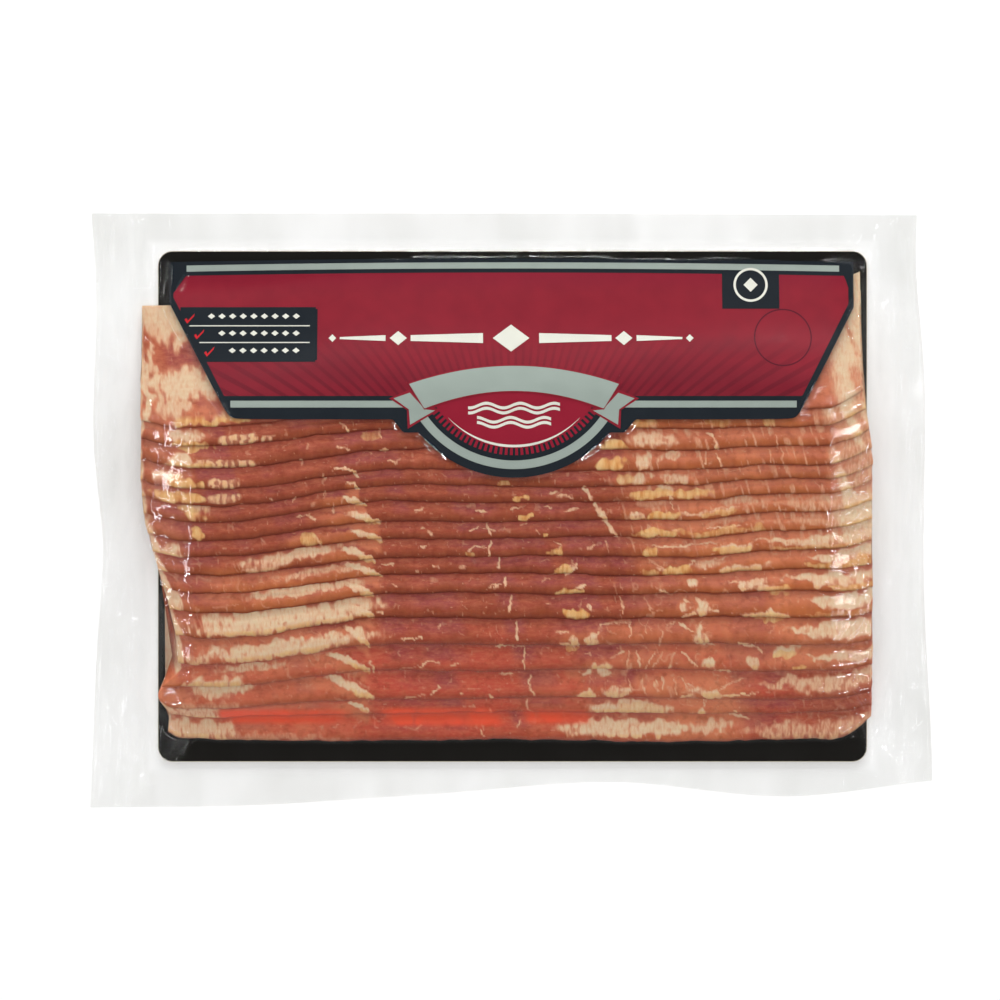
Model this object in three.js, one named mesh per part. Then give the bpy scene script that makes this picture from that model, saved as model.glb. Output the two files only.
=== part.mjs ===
// A flat retail pack of sliced bacon: shingled slices on a board, a printed card over the top
// of the pile, and the clear sealed pouch. Millimetres, +Z up. The pack lies on its back with
// the slices up. The origin is the centre of its underside, and +X runs along the slices.
import * as THREE from "three";

// Pouch: a flat web with a sealed flange all round
const POUCH_WIDTH = 286;
const POUCH_DEPTH = 202;
const WEB_THICKNESS = 0.5;

// Pieces that lie on each other keep this gap
const GAP = 0.3;

// Backing board
const BOARD = { left: -120, right: 121, bottom: -85.4, top: 88.2, corner: 5, thickness: 0.6 };

// Slices: the first is the top of the pile. Each lower slice shows by its own step.
const SLICE_THICKNESS = 2.0;
const SLICE_WIDTH = 42;
const FEATHER = 0.4;
const TOP_EDGE_Y = 34.5;
const STEPS = [6.5, 7.3, 7, 5.4, 5.4, 6.5, 5.8, 6.3, 6, 6.5, 8.2, 9, 8.8, 9.5, 4.9, 9.4];
const BEVEL = 2.6;
const FOOT_STEP = 7;

// How the lower edges run: a small wave, a sag on the left, a lift towards the right and a
// curl at the right end. The sag fades out at the foot of the pile and the curl at half height.
const EDGE_WAVE = { height: 0.35, length: 17, shift: 0.9 };
const SAG = { drop: 6.6, start: -38, reach: 62, foot: 3.6 };
const LIFT = { rise: 3.2, start: 58, reach: 34, slice: 6, slices: 5.5 };
const CURL = { rise: 5.6, less: 0.6, start: 108, reach: 14 };
const CORNER_CUT = 2;
const LAST_CORNER_CUT = 8;

// Ends of the slices: a straight right side, and a left side that wanders in and out again
const RIGHT_END = 122.3;
const RIGHT_END_TOP = 118.6;
const RIGHT_TAPER = { start: 16, reach: 30 };
const LEFT_END = -125.3;
const LEFT_WAIST = { y: -52, depth: 12.6, reach: 62 };
const LEFT_FOOT = { y: -62, out: 6.2, reach: 9 };
const DROOP_START = 108;
const DROOP_REACH = 18;
const DROOP = 0.42;
const COLUMNS = 13;

// Printed card: slanted sides, a straight lower edge with a round medallion below it
const CARD_THICKNESS = 0.5;
const CARD_RISE = 0.45;
const CARD_TOP = 85.3;
const CARD_LOWER_EDGE = 31.6;
const CARD_LEFT = { edge: -115.8, shoulderY: 70.2, footX: -94.5 };
const CARD_RIGHT = { edge: 116.4, shoulderY: 68.5, footX: 97.5 };
const MEDALLION = { x: 1, y: 52.9, radius: 41.8 };
const RIBBON_TAIL = { inner: 30.5, outer: 40.5, drop: 3.4 };
const TAIL_STEP = 0.3;
const ARC_COLUMNS = 6;
const CARD_ROWS = 12;

const smooth = (t) => {
  const u = Math.min(1, Math.max(0, t));
  return u * u * (3 - 2 * u);
};
const bump = (value, centre, reach) => smooth(1 - Math.abs(value - centre) / reach);
const sum = (list) => list.reduce((total, value) => total + value, 0);

// A closed mesh from two facing grids of points, the upper and the lower skin, with the same
// number of rows and columns. Rows run towards +Y and columns towards +X.
function closedSkins(upper, lower) {
  const rows = upper.length;
  const columns = upper[0].length;
  const points = [...upper.flat(), ...lower.flat()];
  const top = (r, c) => r * columns + c;
  const under = (r, c) => rows * columns + r * columns + c;
  const faces = [];
  const quad = (a, b, c, d) => faces.push(a, b, c, a, c, d);
  for (let r = 0; r + 1 < rows; r++) {
    for (let c = 0; c + 1 < columns; c++) {
      quad(top(r, c), top(r, c + 1), top(r + 1, c + 1), top(r + 1, c));
      faces.push(under(r, c), under(r + 1, c + 1), under(r, c + 1));
      faces.push(under(r, c), under(r + 1, c), under(r + 1, c + 1));
    }
  }
  for (let c = 0; c + 1 < columns; c++) {
    quad(under(0, c), under(0, c + 1), top(0, c + 1), top(0, c));
    quad(top(rows - 1, c), top(rows - 1, c + 1), under(rows - 1, c + 1), under(rows - 1, c));
  }
  for (let r = 0; r + 1 < rows; r++) {
    quad(top(r, 0), top(r + 1, 0), under(r + 1, 0), under(r, 0));
    const end = columns - 1;
    quad(under(r, end), under(r + 1, end), top(r + 1, end), top(r, end));
  }
  const geometry = new THREE.BufferGeometry();
  const place = new Float32Array(points.flat());
  geometry.setAttribute("position", new THREE.BufferAttribute(place, 3));
  geometry.setIndex(faces);
  geometry.computeVertexNormals();
  return geometry;
}

// Lower edge of slice i at x
const SLICE_COUNT = STEPS.length + 1;
const sliceEdge = (i, x) => {
  const level = TOP_EDGE_Y - sum(STEPS.slice(0, i));
  const wave = EDGE_WAVE.height * Math.sin(x / EDGE_WAVE.length + EDGE_WAVE.shift * i);
  const sagShare = Math.min(1, (SLICE_COUNT - 1 - i) / SAG.foot);
  const sag = SAG.drop * sagShare * smooth((SAG.start - x) / SAG.reach);
  const lift = LIFT.rise * bump(i, LIFT.slice, LIFT.slices) * smooth((x - LIFT.start) / LIFT.reach);
  const curl = Math.max(0, CURL.rise - CURL.less * i) * Math.max(0, (x - CURL.start) / CURL.reach);
  return level + wave - sag + lift + curl;
};
const sliceFoot = (i, x) => sliceEdge(i, x) + SLICE_WIDTH;
const footBelow = (i, x) => (i + 1 < SLICE_COUNT ? sliceFoot(i + 1, x) : sliceFoot(i, x) - FOOT_STEP);
const footAbove = (i, x) => (i > 0 ? sliceFoot(i - 1, x) : sliceFoot(i, x) + FOOT_STEP);

// The ends of the pile are thinner: every height falls in a straight line past the last column
const endFactor = (x) =>
  1 - DROOP * Math.min(1, Math.max(0, (Math.abs(x) - DROOP_START) / DROOP_REACH));

// Thickness of slice i at y: full, then a taper to a feather at its hidden foot
function sliceThickness(i, x, y) {
  const from = footBelow(i, x);
  const t = Math.min(1, Math.max(0, (y - from) / (sliceFoot(i, x) - from)));
  return (SLICE_THICKNESS + (FEATHER - SLICE_THICKNESS) * t) * endFactor(x);
}

// Room that slice i takes under the slices above it. It fades out past the slice's foot.
function sliceRoom(i, x, y) {
  const foot = sliceFoot(i, x);
  if (y <= foot) return sliceThickness(i, x, y) + GAP;
  const fade = Math.max(0, 1 - (y - foot) / (footAbove(i, x) - foot));
  return (FEATHER * endFactor(x) + GAP) * fade;
}

const BOARD_Z = WEB_THICKNESS + GAP;
const BOARD_TOP_Z = BOARD_Z + BOARD.thickness;

function sliceUnderside(i, x, y) {
  let z = BOARD_TOP_Z + GAP;
  for (let j = i + 1; j < SLICE_COUNT; j++) z += sliceRoom(j, x, y);
  return z;
}

// Left end of the pile at height y on the pack
const leftEnd = (y) =>
  LEFT_END +
  LEFT_WAIST.depth * bump(y, LEFT_WAIST.y, LEFT_WAIST.reach) -
  LEFT_FOOT.out * bump(y, LEFT_FOOT.y, LEFT_FOOT.reach);
const rightEnd = (y) =>
  RIGHT_END - (RIGHT_END - RIGHT_END_TOP) * smooth((y - RIGHT_TAPER.start) / RIGHT_TAPER.reach);

// Columns of points along a slice: shared inner ones, and its own two ends
function sliceColumns(left, right) {
  const inner = [];
  for (let c = 0; c < COLUMNS; c++) inner.push(-DROOP_START + (2 * DROOP_START * c) / (COLUMNS - 1));
  return [left, (left - DROOP_START) / 2, ...inner, (right + DROOP_START) / 2, right];
}

// One slice: it starts at its rounded lower edge and runs up over the feet of those below.
// Its ends are drawn in a little at the lower corners.
function slice(i) {
  const middle = sliceEdge(i, 0) + 4;
  const columns = sliceColumns(leftEnd(middle), rightEnd(middle));
  const cornerCut = i === SLICE_COUNT - 1 ? LAST_CORNER_CUT : CORNER_CUT;
  const bends = [(x) => footBelow(SLICE_COUNT - 1, x)];
  for (let j = SLICE_COUNT - 1; j >= i; j--) bends.push((x) => sliceFoot(j, x));
  const clears = (bend) => columns.some((x) => bend(x) - sliceEdge(i, x) > BEVEL + 1);
  const knees = bends.filter(clears);
  const upper = [[], [], []];
  const lower = [[], [], []];
  knees.forEach(() => {
    upper.push([]);
    lower.push([]);
  });
  for (const x of columns) {
    const nearEnd = Math.max(0, (Math.abs(x) - DROOP_START) / (RIGHT_END - DROOP_START));
    const edge = sliceEdge(i, x) + cornerCut * nearEnd * nearEnd;
    const bevel = [
      { y: edge, rise: 0.22 },
      { y: edge + 0.35 * BEVEL, rise: 0.72 },
      { y: edge + BEVEL, rise: 1 },
    ];
    bevel.forEach(({ y, rise }, row) => {
      const z = sliceUnderside(i, x, y);
      upper[row].push([x, y, z + rise * sliceThickness(i, x, y)]);
      lower[row].push([x, y, z]);
    });
    knees.forEach((knee, k) => {
      const y = Math.max(knee(x), edge + BEVEL + 0.4 * (k + 1));
      const z = sliceUnderside(i, x, y);
      upper[k + 3].push([x, y, z + sliceThickness(i, x, y)]);
      lower[k + 3].push([x, y, z]);
    });
  }
  return closedSkins(upper, lower);
}

// Height of the bare pile and board at a point: what the card lies on
function pileTop(x, y) {
  let z = BOARD_TOP_Z;
  for (let i = 0; i < SLICE_COUNT; i++) {
    if (y >= sliceEdge(i, x) && y <= sliceFoot(i, x)) {
      z = Math.max(z, sliceUnderside(i, x, y) + sliceThickness(i, x, y));
    }
  }
  return z;
}

// Lower side of the card: the highest of the pile close by, so that it bridges the creases
function cardUnderside(x, y) {
  const reach = 5;
  let z = 0;
  for (let dy = -reach; dy <= reach; dy += 1) z = Math.max(z, pileTop(x, y + dy));
  return z + CARD_RISE;
}

// Lower edge of the card at x: slanted sides, straight foot, ribbon tails and the medallion's arc
function cardLowerEdge(x) {
  const side = x < 0 ? CARD_LEFT : CARD_RIGHT;
  const slant = Math.min(1, Math.max(0, (x - side.footX) / (side.edge - side.footX)));
  const slope = CARD_LOWER_EDGE + (side.shoulderY - CARD_LOWER_EDGE) * slant;
  const out = Math.abs(x - MEDALLION.x);
  const tails = out > RIBBON_TAIL.inner && out < RIBBON_TAIL.outer ? RIBBON_TAIL.drop : 0;
  if (out >= MEDALLION.radius) return slope - tails;
  return Math.min(slope - tails, MEDALLION.y - Math.sqrt(MEDALLION.radius ** 2 - out ** 2));
}

// Columns across the card: even steps on the slants and the straight foot, close ones at the
// sides of the ribbon tails, and even angles round the medallion
function cardColumns() {
  const list = [CARD_LEFT.edge, CARD_LEFT.footX, CARD_RIGHT.footX, CARD_RIGHT.edge];
  for (const share of [1 / 3, 2 / 3]) {
    list.push(CARD_LEFT.edge + (CARD_LEFT.footX - CARD_LEFT.edge) * share);
    list.push(CARD_RIGHT.edge + (CARD_RIGHT.footX - CARD_RIGHT.edge) * share);
    list.push(CARD_LEFT.footX + (MEDALLION.x - RIBBON_TAIL.outer - CARD_LEFT.footX) * share);
    list.push(CARD_RIGHT.footX + (MEDALLION.x + RIBBON_TAIL.outer - CARD_RIGHT.footX) * share);
  }
  for (const side of [-1, 1]) {
    for (const out of [RIBBON_TAIL.inner, RIBBON_TAIL.outer]) {
      list.push(MEDALLION.x + side * (out - TAIL_STEP), MEDALLION.x + side * (out + TAIL_STEP));
    }
  }
  for (let c = -ARC_COLUMNS; c <= ARC_COLUMNS; c++) {
    list.push(MEDALLION.x + (RIBBON_TAIL.inner - 2) * Math.sin((c / ARC_COLUMNS) * (Math.PI / 2)));
  }
  return list.sort((a, b) => a - b);
}

function card() {
  const upper = [];
  const lower = [];
  for (let r = 0; r < CARD_ROWS; r++) {
    upper.push([]);
    lower.push([]);
    for (const x of cardColumns()) {
      const topEdge = CARD_TOP - 1.2 * (x / CARD_RIGHT.edge) ** 2;
      const bottomEdge = cardLowerEdge(x);
      const y = bottomEdge + ((topEdge - bottomEdge) * r) / (CARD_ROWS - 1);
      const z = cardUnderside(x, y);
      lower[r].push([x, y, z]);
      upper[r].push([x, y, z + CARD_THICKNESS]);
    }
  }
  return closedSkins(upper, lower);
}

// A flat sheet with the given outline, its underside at height z
function sheet(shape, thickness, z, curveSegments) {
  const options = { depth: thickness, bevelEnabled: false, curveSegments };
  return new THREE.ExtrudeGeometry(shape, options).translate(0, 0, z);
}

function boardShape() {
  const { left, right, bottom, top, corner } = BOARD;
  const shape = new THREE.Shape();
  shape.moveTo(left + corner, bottom);
  shape.lineTo(right - corner, bottom);
  shape.absarc(right - corner, bottom + corner, corner, -Math.PI / 2, 0);
  shape.lineTo(right, top - corner);
  shape.absarc(right - corner, top - corner, corner, 0, Math.PI / 2);
  shape.lineTo(left + corner, top);
  shape.absarc(left + corner, top - corner, corner, Math.PI / 2, Math.PI);
  shape.lineTo(left, bottom + corner);
  shape.absarc(left + corner, bottom + corner, corner, Math.PI, 1.5 * Math.PI);
  return shape;
}

// The pouch's trimmed edge: straight on top, pulled in and wavy on the other three sides
function pouchShape() {
  const halfWidth = POUCH_WIDTH / 2;
  const halfDepth = POUCH_DEPTH / 2;
  const at = (x, y) => new THREE.Vector2(x, y);
  const shape = new THREE.Shape();
  shape.moveTo(-halfWidth + 0.4, halfDepth);
  shape.splineThru([
    at(-halfWidth + 1.9, 76),
    at(-halfWidth + 1.2, 22),
    at(-halfWidth + 4.3, -12),
    at(-halfWidth + 2.3, -47),
    at(-halfWidth, -halfDepth),
  ]);
  shape.splineThru([
    at(-92, -halfDepth + 0.6),
    at(-26, -96.4),
    at(34, -92.4),
    at(96, -97.2),
    at(halfWidth, -91.8),
  ]);
  shape.splineThru([
    at(halfWidth - 2.6, -37),
    at(halfWidth - 2.6, 46),
    at(halfWidth - 5.4, 88),
    at(halfWidth - 5, halfDepth - 0.6),
  ]);
  return shape;
}

const finish = (color, roughness) => new THREE.MeshStandardMaterial({ color, roughness, metalness: 0 });
const clearFilm = finish(0xdfe3e4, 0.12);
const blackBoard = finish(0x16140f, 0.3);
const curedPork = finish(0xa8564a, 0.35);
const printedCard = finish(0x9a2236, 0.35);

const pack = new THREE.Group();
function add(name, geometry, material) {
  const mesh = new THREE.Mesh(geometry, material);
  mesh.name = name;
  pack.add(mesh);
}

add("film_pouch", sheet(pouchShape(), WEB_THICKNESS, 0, 8), clearFilm);
add("backing_board", sheet(boardShape(), BOARD.thickness, BOARD_Z, 5), blackBoard);
for (let i = 0; i < SLICE_COUNT; i++) {
  add(`bacon_slice_${String(i + 1).padStart(2, "0")}`, slice(i), curedPork);
}
add("label_card", card(), printedCard);

export default pack;
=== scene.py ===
"""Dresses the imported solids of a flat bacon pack: marbled slices, glossy board, printed card, film.

The pack lies on its back with the slices up. +X runs along the slices and +Z is up. Sizes in
this file are millimetres, and each mesh is turned into metres as it is built.
"""

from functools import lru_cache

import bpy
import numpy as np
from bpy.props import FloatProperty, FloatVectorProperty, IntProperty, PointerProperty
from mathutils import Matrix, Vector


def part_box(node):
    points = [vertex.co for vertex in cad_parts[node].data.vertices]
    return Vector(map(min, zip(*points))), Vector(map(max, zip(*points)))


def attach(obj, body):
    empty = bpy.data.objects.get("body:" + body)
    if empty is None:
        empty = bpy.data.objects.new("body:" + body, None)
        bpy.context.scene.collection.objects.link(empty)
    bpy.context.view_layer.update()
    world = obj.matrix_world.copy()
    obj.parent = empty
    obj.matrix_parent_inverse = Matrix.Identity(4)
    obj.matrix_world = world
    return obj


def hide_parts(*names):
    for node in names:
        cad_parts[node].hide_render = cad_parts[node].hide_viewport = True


bl_info = {
    "name": "Bacon pack",
    "version": (1, 0, 0),
    "blender": (4, 5, 0),
    "location": "3D View > Sidebar > Bacon pack",
    "description": "Builds the visible slices, board, printed card and clear pouch of a bacon pack",
    "category": "Object",
}

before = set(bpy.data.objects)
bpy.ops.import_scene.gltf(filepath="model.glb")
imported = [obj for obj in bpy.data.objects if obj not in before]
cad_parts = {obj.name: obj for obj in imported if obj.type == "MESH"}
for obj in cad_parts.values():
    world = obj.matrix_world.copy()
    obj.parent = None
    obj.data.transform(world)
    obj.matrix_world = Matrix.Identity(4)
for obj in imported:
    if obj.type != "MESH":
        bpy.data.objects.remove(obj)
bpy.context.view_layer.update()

MM = 0.001

# The pile of slices, as in the solids. Each lower slice shows by its own step.
STEPS = [6.5, 7.3, 7, 5.4, 5.4, 6.5, 5.8, 6.3, 6, 6.5, 8.2, 9, 8.8, 9.5, 4.9, 9.4]
SLICES = len(STEPS) + 1
LEVELS = 34.5 - np.concatenate([[0.0], np.cumsum(STEPS)])
SLICE_THICKNESS = 2.0
SLICE_WIDTH = 42.0
FEATHER = 0.4
GAP = 0.3
BEVEL = 2.6
FOOT_STEP = 7.0
TOP_STRIP = 7.0
PILE_HALF = 108.0  # past this distance from the middle the ends of the pile change shape
SLICE_NODES = [f"bacon_slice_{i + 1:02d}" for i in range(SLICES)]

# The board's top, and its outline
BOARD_LOW, BOARD_HIGH = (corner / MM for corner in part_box("backing_board"))
BOARD_TOP = BOARD_HIGH.z

# The pouch's trimmed edge, side by side, within this half-length and half-width
POUCH_HALF_X, POUCH_HALF_Y = 143, 101
POUCH_LEFT = [(-101, -143), (-47, -140.7), (-12, -138.7), (22, -141.8), (76, -141.1), (101, -142.6)]
POUCH_RIGHT = [(-101, 143.2), (-91.8, 143), (-37, 140.4), (46, 140.4), (88, 137.6), (101, 138)]
POUCH_BOTTOM = [(-143, -101), (-92, -100.4), (-26, -96.4), (34, -92.4), (96, -97.2), (143, -91.8)]
POUCH_TOP = [(-143, 101), (0, 101), (143, 100.4)]

# The card
CARD_TOP = 85.6
CARD_FOOT = 31.4
CARD_SHEET = 0.35
CARD_SIDES = ((-116.0, 71.0, -95.2), (116.2, 69.5, 96.6))
MEDALLION_X, MEDALLION_Y, MEDALLION_R = 1.0, 52.9, 41.8

# Random lattices: their size, a shift off their lines, and the reach of a height grid
LATTICE = 256
LATTICE_SHIFT = (97.3, 61.7)
RELIEF_HALF_X, RELIEF_HALF_Y = 150.0, 108.0


# Shapes as arrays

def ease(t):
    """0 below 0, 1 above 1, and t * t * (3 - 2 t) between."""
    t = np.clip(t, 0.0, 1.0)
    return t * t * (3.0 - 2.0 * t)


def bump(value, centre, reach):
    """1 at the centre, easing to 0 at the reach on both sides."""
    return ease(1.0 - np.abs(value - centre) / reach)


def plateau(value, low, high, soft):
    """1 between low and high, easing to 0 over the soft distance, centred on each limit."""
    return ease((value - low) / soft + 0.5) * ease((high - value) / soft + 0.5)


@lru_cache(maxsize=None)
def random_lattice(seed):
    """A square of random values from -1 to 1, always the same ones for a seed."""
    return np.random.default_rng(seed).uniform(-1.0, 1.0, (LATTICE, LATTICE))


def noise(x, y, cell, seed):
    """Smooth noise from -1 to 1: random values on a lattice with this cell, eased between."""
    lattice = random_lattice(seed)
    gx, gy = np.asarray(x) / cell + LATTICE_SHIFT[0], np.asarray(y) / cell + LATTICE_SHIFT[1]
    gx, gy = np.broadcast_arrays(gx, gy)
    ix, iy = np.floor(gx).astype(int), np.floor(gy).astype(int)
    fx, fy = ease(gx - ix), ease(gy - iy)
    x0, x1 = ix % LATTICE, (ix + 1) % LATTICE
    y0, y1 = iy % LATTICE, (iy + 1) % LATTICE
    near = lattice[x0, y0] * (1 - fx) + lattice[x1, y0] * fx
    far = lattice[x0, y1] * (1 - fx) + lattice[x1, y1] * fx
    return near * (1 - fy) + far * fy


def curve_through(points, at):
    """A smooth curve through (place, value) points: cubic pieces with the slopes of the chords."""
    knots, values = np.array(points, float).T
    slopes = np.gradient(values, knots)
    k = np.clip(np.searchsorted(knots, at) - 1, 0, len(knots) - 2)
    span = knots[k + 1] - knots[k]
    t = np.clip((at - knots[k]) / span, 0, 1)
    start = (2 * t**3 - 3 * t**2 + 1) * values[k] + (t**3 - 2 * t**2 + t) * span * slopes[k]
    end = (3 * t**2 - 2 * t**3) * values[k + 1] + (t**3 - t**2) * span * slopes[k + 1]
    return start + end


class Relief:
    """Heights on a square grid over the pouch, read in straight lines between its points."""

    def __init__(self, step):
        self.step = step
        self.x = np.arange(-RELIEF_HALF_X, RELIEF_HALF_X + step / 2, step)
        self.y = np.arange(-RELIEF_HALF_Y, RELIEF_HALF_Y + step / 2, step)
        self.grid_x, self.grid_y = np.meshgrid(self.x, self.y, indexing="ij")
        self.z = np.zeros(self.grid_x.shape)

    def at(self, x, y):
        """Height at any place: its share of the four grid points round it."""
        gx = np.clip((x - self.x[0]) / self.step, 0, len(self.x) - 1.001)
        gy = np.clip((y - self.y[0]) / self.step, 0, len(self.y) - 1.001)
        ix, iy = gx.astype(int), gy.astype(int)
        fx, fy = gx - ix, gy - iy
        near = self.z[ix, iy] * (1 - fx) + self.z[ix + 1, iy] * fx
        far = self.z[ix, iy + 1] * (1 - fx) + self.z[ix + 1, iy + 1] * fx
        return near * (1 - fy) + far * fy

    def widen(self, reach_x, reach_y):
        """Each height becomes the highest within the reach."""
        for axis, reach in ((0, reach_x), (1, reach_y)):
            source = self.z.copy()
            for shift in range(1, int(round(reach / self.step)) + 1):
                for way in (-shift, shift):
                    self.z = np.maximum(self.z, np.roll(source, way, axis))

    def soften(self, sigma):
        """A bell-shaped average with this sigma."""
        cells = sigma / self.step
        shifts = range(-int(3 * cells), int(3 * cells) + 1)
        weights = [np.exp(-0.5 * (shift / cells) ** 2) for shift in shifts]
        for axis in (0, 1):
            parts = [w * np.roll(self.z, s, axis) for s, w in zip(shifts, weights)]
            self.z = sum(parts) / sum(weights)

    def drape(self, slope, reach):
        """Each height is at least its neighbours' less the slope: a sheet's steepest fall."""
        for _ in range(int(reach / self.step)):
            for dx, dy in ((1, 0), (0, 1), (1, 1), (1, -1)):
                fall = slope * self.step * np.hypot(dx, dy)
                for way in (-1, 1):
                    lifted = np.roll(self.z, (way * dx, way * dy), (0, 1)) - fall
                    self.z = np.maximum(self.z, lifted)


# The pile

def edge_base(i, x):
    """Lower edge of slice i: level, slow wave, sag on the left, lift and end curl on the right."""
    wave = 0.35 * np.sin(x / 17 + 0.9 * i)
    sag = 6.6 * min(1.0, (SLICES - 1 - i) / 3.6) * ease((-38 - x) / 62)
    lift = 3.2 * bump(i, 6, 5.5) * ease((x - 58) / 34)
    curl = max(0.0, 5.6 - 0.6 * i) * np.maximum(0, (x - PILE_HALF) / 14)
    return LEVELS[i] + wave - sag + lift + curl


def edge_line(i, x):
    """The base edge with a ragged cut of three sizes, and the corners drawn in."""
    ragged = 0.34 * noise(x, 41 * i, 8, 11) + 0.16 * noise(x, 41 * i, 2.6, 12)
    ragged = ragged + 0.07 * noise(x, 41 * i, 0.9, 13)
    corner = 8.0 if i == SLICES - 1 else 2.0
    drawn = corner * np.maximum(0, (np.abs(x) - PILE_HALF) / 14.3) ** 2
    return edge_base(i, x) + ragged + drawn


def foot_line(i, x):
    """Hidden upper edge of slice i: a slice's width above its lower one."""
    return edge_base(i, x) + SLICE_WIDTH


def foot_below(i, x):
    """Foot of the next slice down, or a step lower than its own for the last slice."""
    return foot_line(i + 1, x) if i + 1 < SLICES else foot_line(i, x) - FOOT_STEP


def foot_above(i, x):
    """Foot of the next slice up, or a step higher than its own for the first slice."""
    return foot_line(i - 1, x) if i > 0 else foot_line(i, x) + FOOT_STEP


def end_factor(x):
    """Share of the thickness: 1 inside, and falling by 0.42 over the last 18 mm of each end."""
    return 1 - 0.42 * np.clip((np.abs(x) - PILE_HALF) / 18, 0, 1)


def slice_thickness(i, x, y):
    """Full, then tapering to a feather between the foot of the slice below and its own."""
    start = foot_below(i, x)
    t = np.clip((y - start) / (foot_line(i, x) - start), 0, 1)
    return (SLICE_THICKNESS + (FEATHER - SLICE_THICKNESS) * t) * end_factor(x)


def slice_room(i, x, y):
    """What slice i takes under the ones above it: its thickness and gap, fading past its foot."""
    foot = foot_line(i, x)
    fade = np.maximum(0, 1 - (y - foot) / (foot_above(i, x) - foot))
    beyond = (FEATHER * end_factor(x) + GAP) * fade
    return np.where(y <= foot, slice_thickness(i, x, y) + GAP, beyond)


def slice_underside(i, x, y):
    """Height of the underside of slice i: the board, a gap, and the room of each lower slice."""
    z = np.full(np.shape(y), BOARD_TOP + GAP)
    for j in range(i + 1, SLICES):
        z = z + slice_room(j, x, y)
    return z


def left_end(y):
    """Left end of the pile: drawn in by a wide bump at mid height, with a small tongue low down."""
    return -125.3 + 12.6 * bump(y, -52, 62) - 6.2 * bump(y, -62, 9)


def right_end(y):
    """Right end of the pile: straight, easing in towards the card."""
    return 122.3 - 3.7 * ease((y - 16) / 30)


def slice_ends(i):
    """Left and right end of slice i, read 4 mm above the middle of its lower edge."""
    middle = edge_base(i, 0.0) + 4
    return float(left_end(middle)), float(right_end(middle))


def rounded_rise(t):
    """Share of the thickness at share t of the bevel: a quarter round from 0.15 to 1."""
    t = np.clip(t, 0, 1)
    return 0.15 + 0.85 * np.sqrt(1 - (1 - t) ** 2)


def squeeze(i, x, y):
    """Height that slice i gains where it is pressed up against the edge of the slice above it:
    1 at that edge, easing in over 2.6 mm of the strip and out again under the other slice."""
    if i == 0:
        return np.zeros(np.shape(y))
    over = y - edge_line(i - 1, x)
    return ease((over + 2.6) / 2.6) * (1 - ease((over - 0.3) / 1.4))


def pile_top(x, y, ragged):
    """Height of the pile and board at each point."""
    on_board = (x > BOARD_LOW.x) & (x < BOARD_HIGH.x) & (y > BOARD_LOW.y) & (y < BOARD_HIGH.y)
    z = np.where(on_board, BOARD_TOP, 0.0)
    for i in range(SLICES):
        left, right = slice_ends(i)
        edge = edge_line(i, x) if ragged else edge_base(i, x)
        on_slice = (x > left) & (x < right) & (y >= edge) & (y <= foot_line(i, x))
        rise = slice_thickness(i, x, y) * rounded_rise((y - edge) / BEVEL)
        if ragged:
            rise = rise + squeeze(i, x, y) * (y < edge_line(max(i - 1, 0), x))
        z = np.where(on_slice, np.maximum(z, slice_underside(i, x, y) + rise), z)
    return z


# Meshes

def grid_quads(rows, columns, first=0, wrap=False):
    """Faces of a grid of points stored row by row. With wrap, the last column joins the first."""
    r = np.arange(rows - 1)[:, None]
    c = np.arange(columns if wrap else columns - 1)[None, :]
    after = (c + 1) % columns
    row, above = r * columns, (r + 1) * columns
    corners = np.broadcast_arrays(row + c, row + after, above + after, above + c)
    return first + np.stack(corners, -1).reshape(-1, 4)


def end_fans(rings, count):
    """Triangles that close a tube of rings, to two poles stored after its points."""
    k = np.arange(count)
    after = (k + 1) % count
    pole, base = rings * count, (rings - 1) * count
    start = np.stack([np.full(count, pole), after, k], -1)
    end = np.stack([np.full(count, pole + 1), base + k, base + after], -1)
    return np.concatenate([start, end])


def turned_out(points, quads, triangles):
    """The faces, all turned round if the volume inside them comes out negative."""
    fans = np.concatenate([quads[:, [0, 1, 2]], quads[:, [0, 2, 3]], triangles])
    a, b, c = (points[fans[:, k]] for k in range(3))
    if np.einsum("ij,ij->i", a, np.cross(b, c)).sum() < 0:
        return quads[:, ::-1], triangles[:, ::-1]
    return quads, triangles


def build_piece(name, points, quads, triangles, material, nodes=(), masks=None, smooth=True):
    """Makes a mesh object in metres from millimetre points, with one float attribute a mask."""
    triangles = np.zeros((0, 3), int) if triangles is None else triangles
    quads, triangles = turned_out(points, quads, triangles)
    mesh = bpy.data.meshes.new(name)
    mesh.vertices.add(len(points))
    mesh.vertices.foreach_set("co", (points * MM).astype(np.float32).ravel())
    mesh.loops.add(quads.size + triangles.size)
    mesh.loops.foreach_set("vertex_index", np.concatenate([quads.ravel(), triangles.ravel()]))
    mesh.polygons.add(len(quads) + len(triangles))
    starts = np.concatenate([4 * np.arange(len(quads)), quads.size + 3 * np.arange(len(triangles))])
    mesh.polygons.foreach_set("loop_start", starts)
    mesh.polygons.foreach_set("use_smooth", np.full(len(starts), smooth))
    for mask, values in (masks or {}).items():
        layer = mesh.attributes.new(mask, "FLOAT", "POINT")
        layer.data.foreach_set("value", np.asarray(values, np.float32).ravel())
    mesh.update(calc_edges=True)
    mesh.validate()
    mesh.materials.append(material)
    piece = bpy.data.objects.new(name, mesh)
    bpy.context.scene.collection.objects.link(piece)
    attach(piece, "root")
    if nodes:
        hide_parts(*nodes)


# Materials

def linear(red, green, blue):
    """A colour given as 0-255 screen values, as the linear values that shaders take."""
    screen = np.array([red, green, blue]) / 255
    return tuple(np.where(screen <= 0.04045, screen / 12.92, ((screen + 0.055) / 1.055) ** 2.4))


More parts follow.
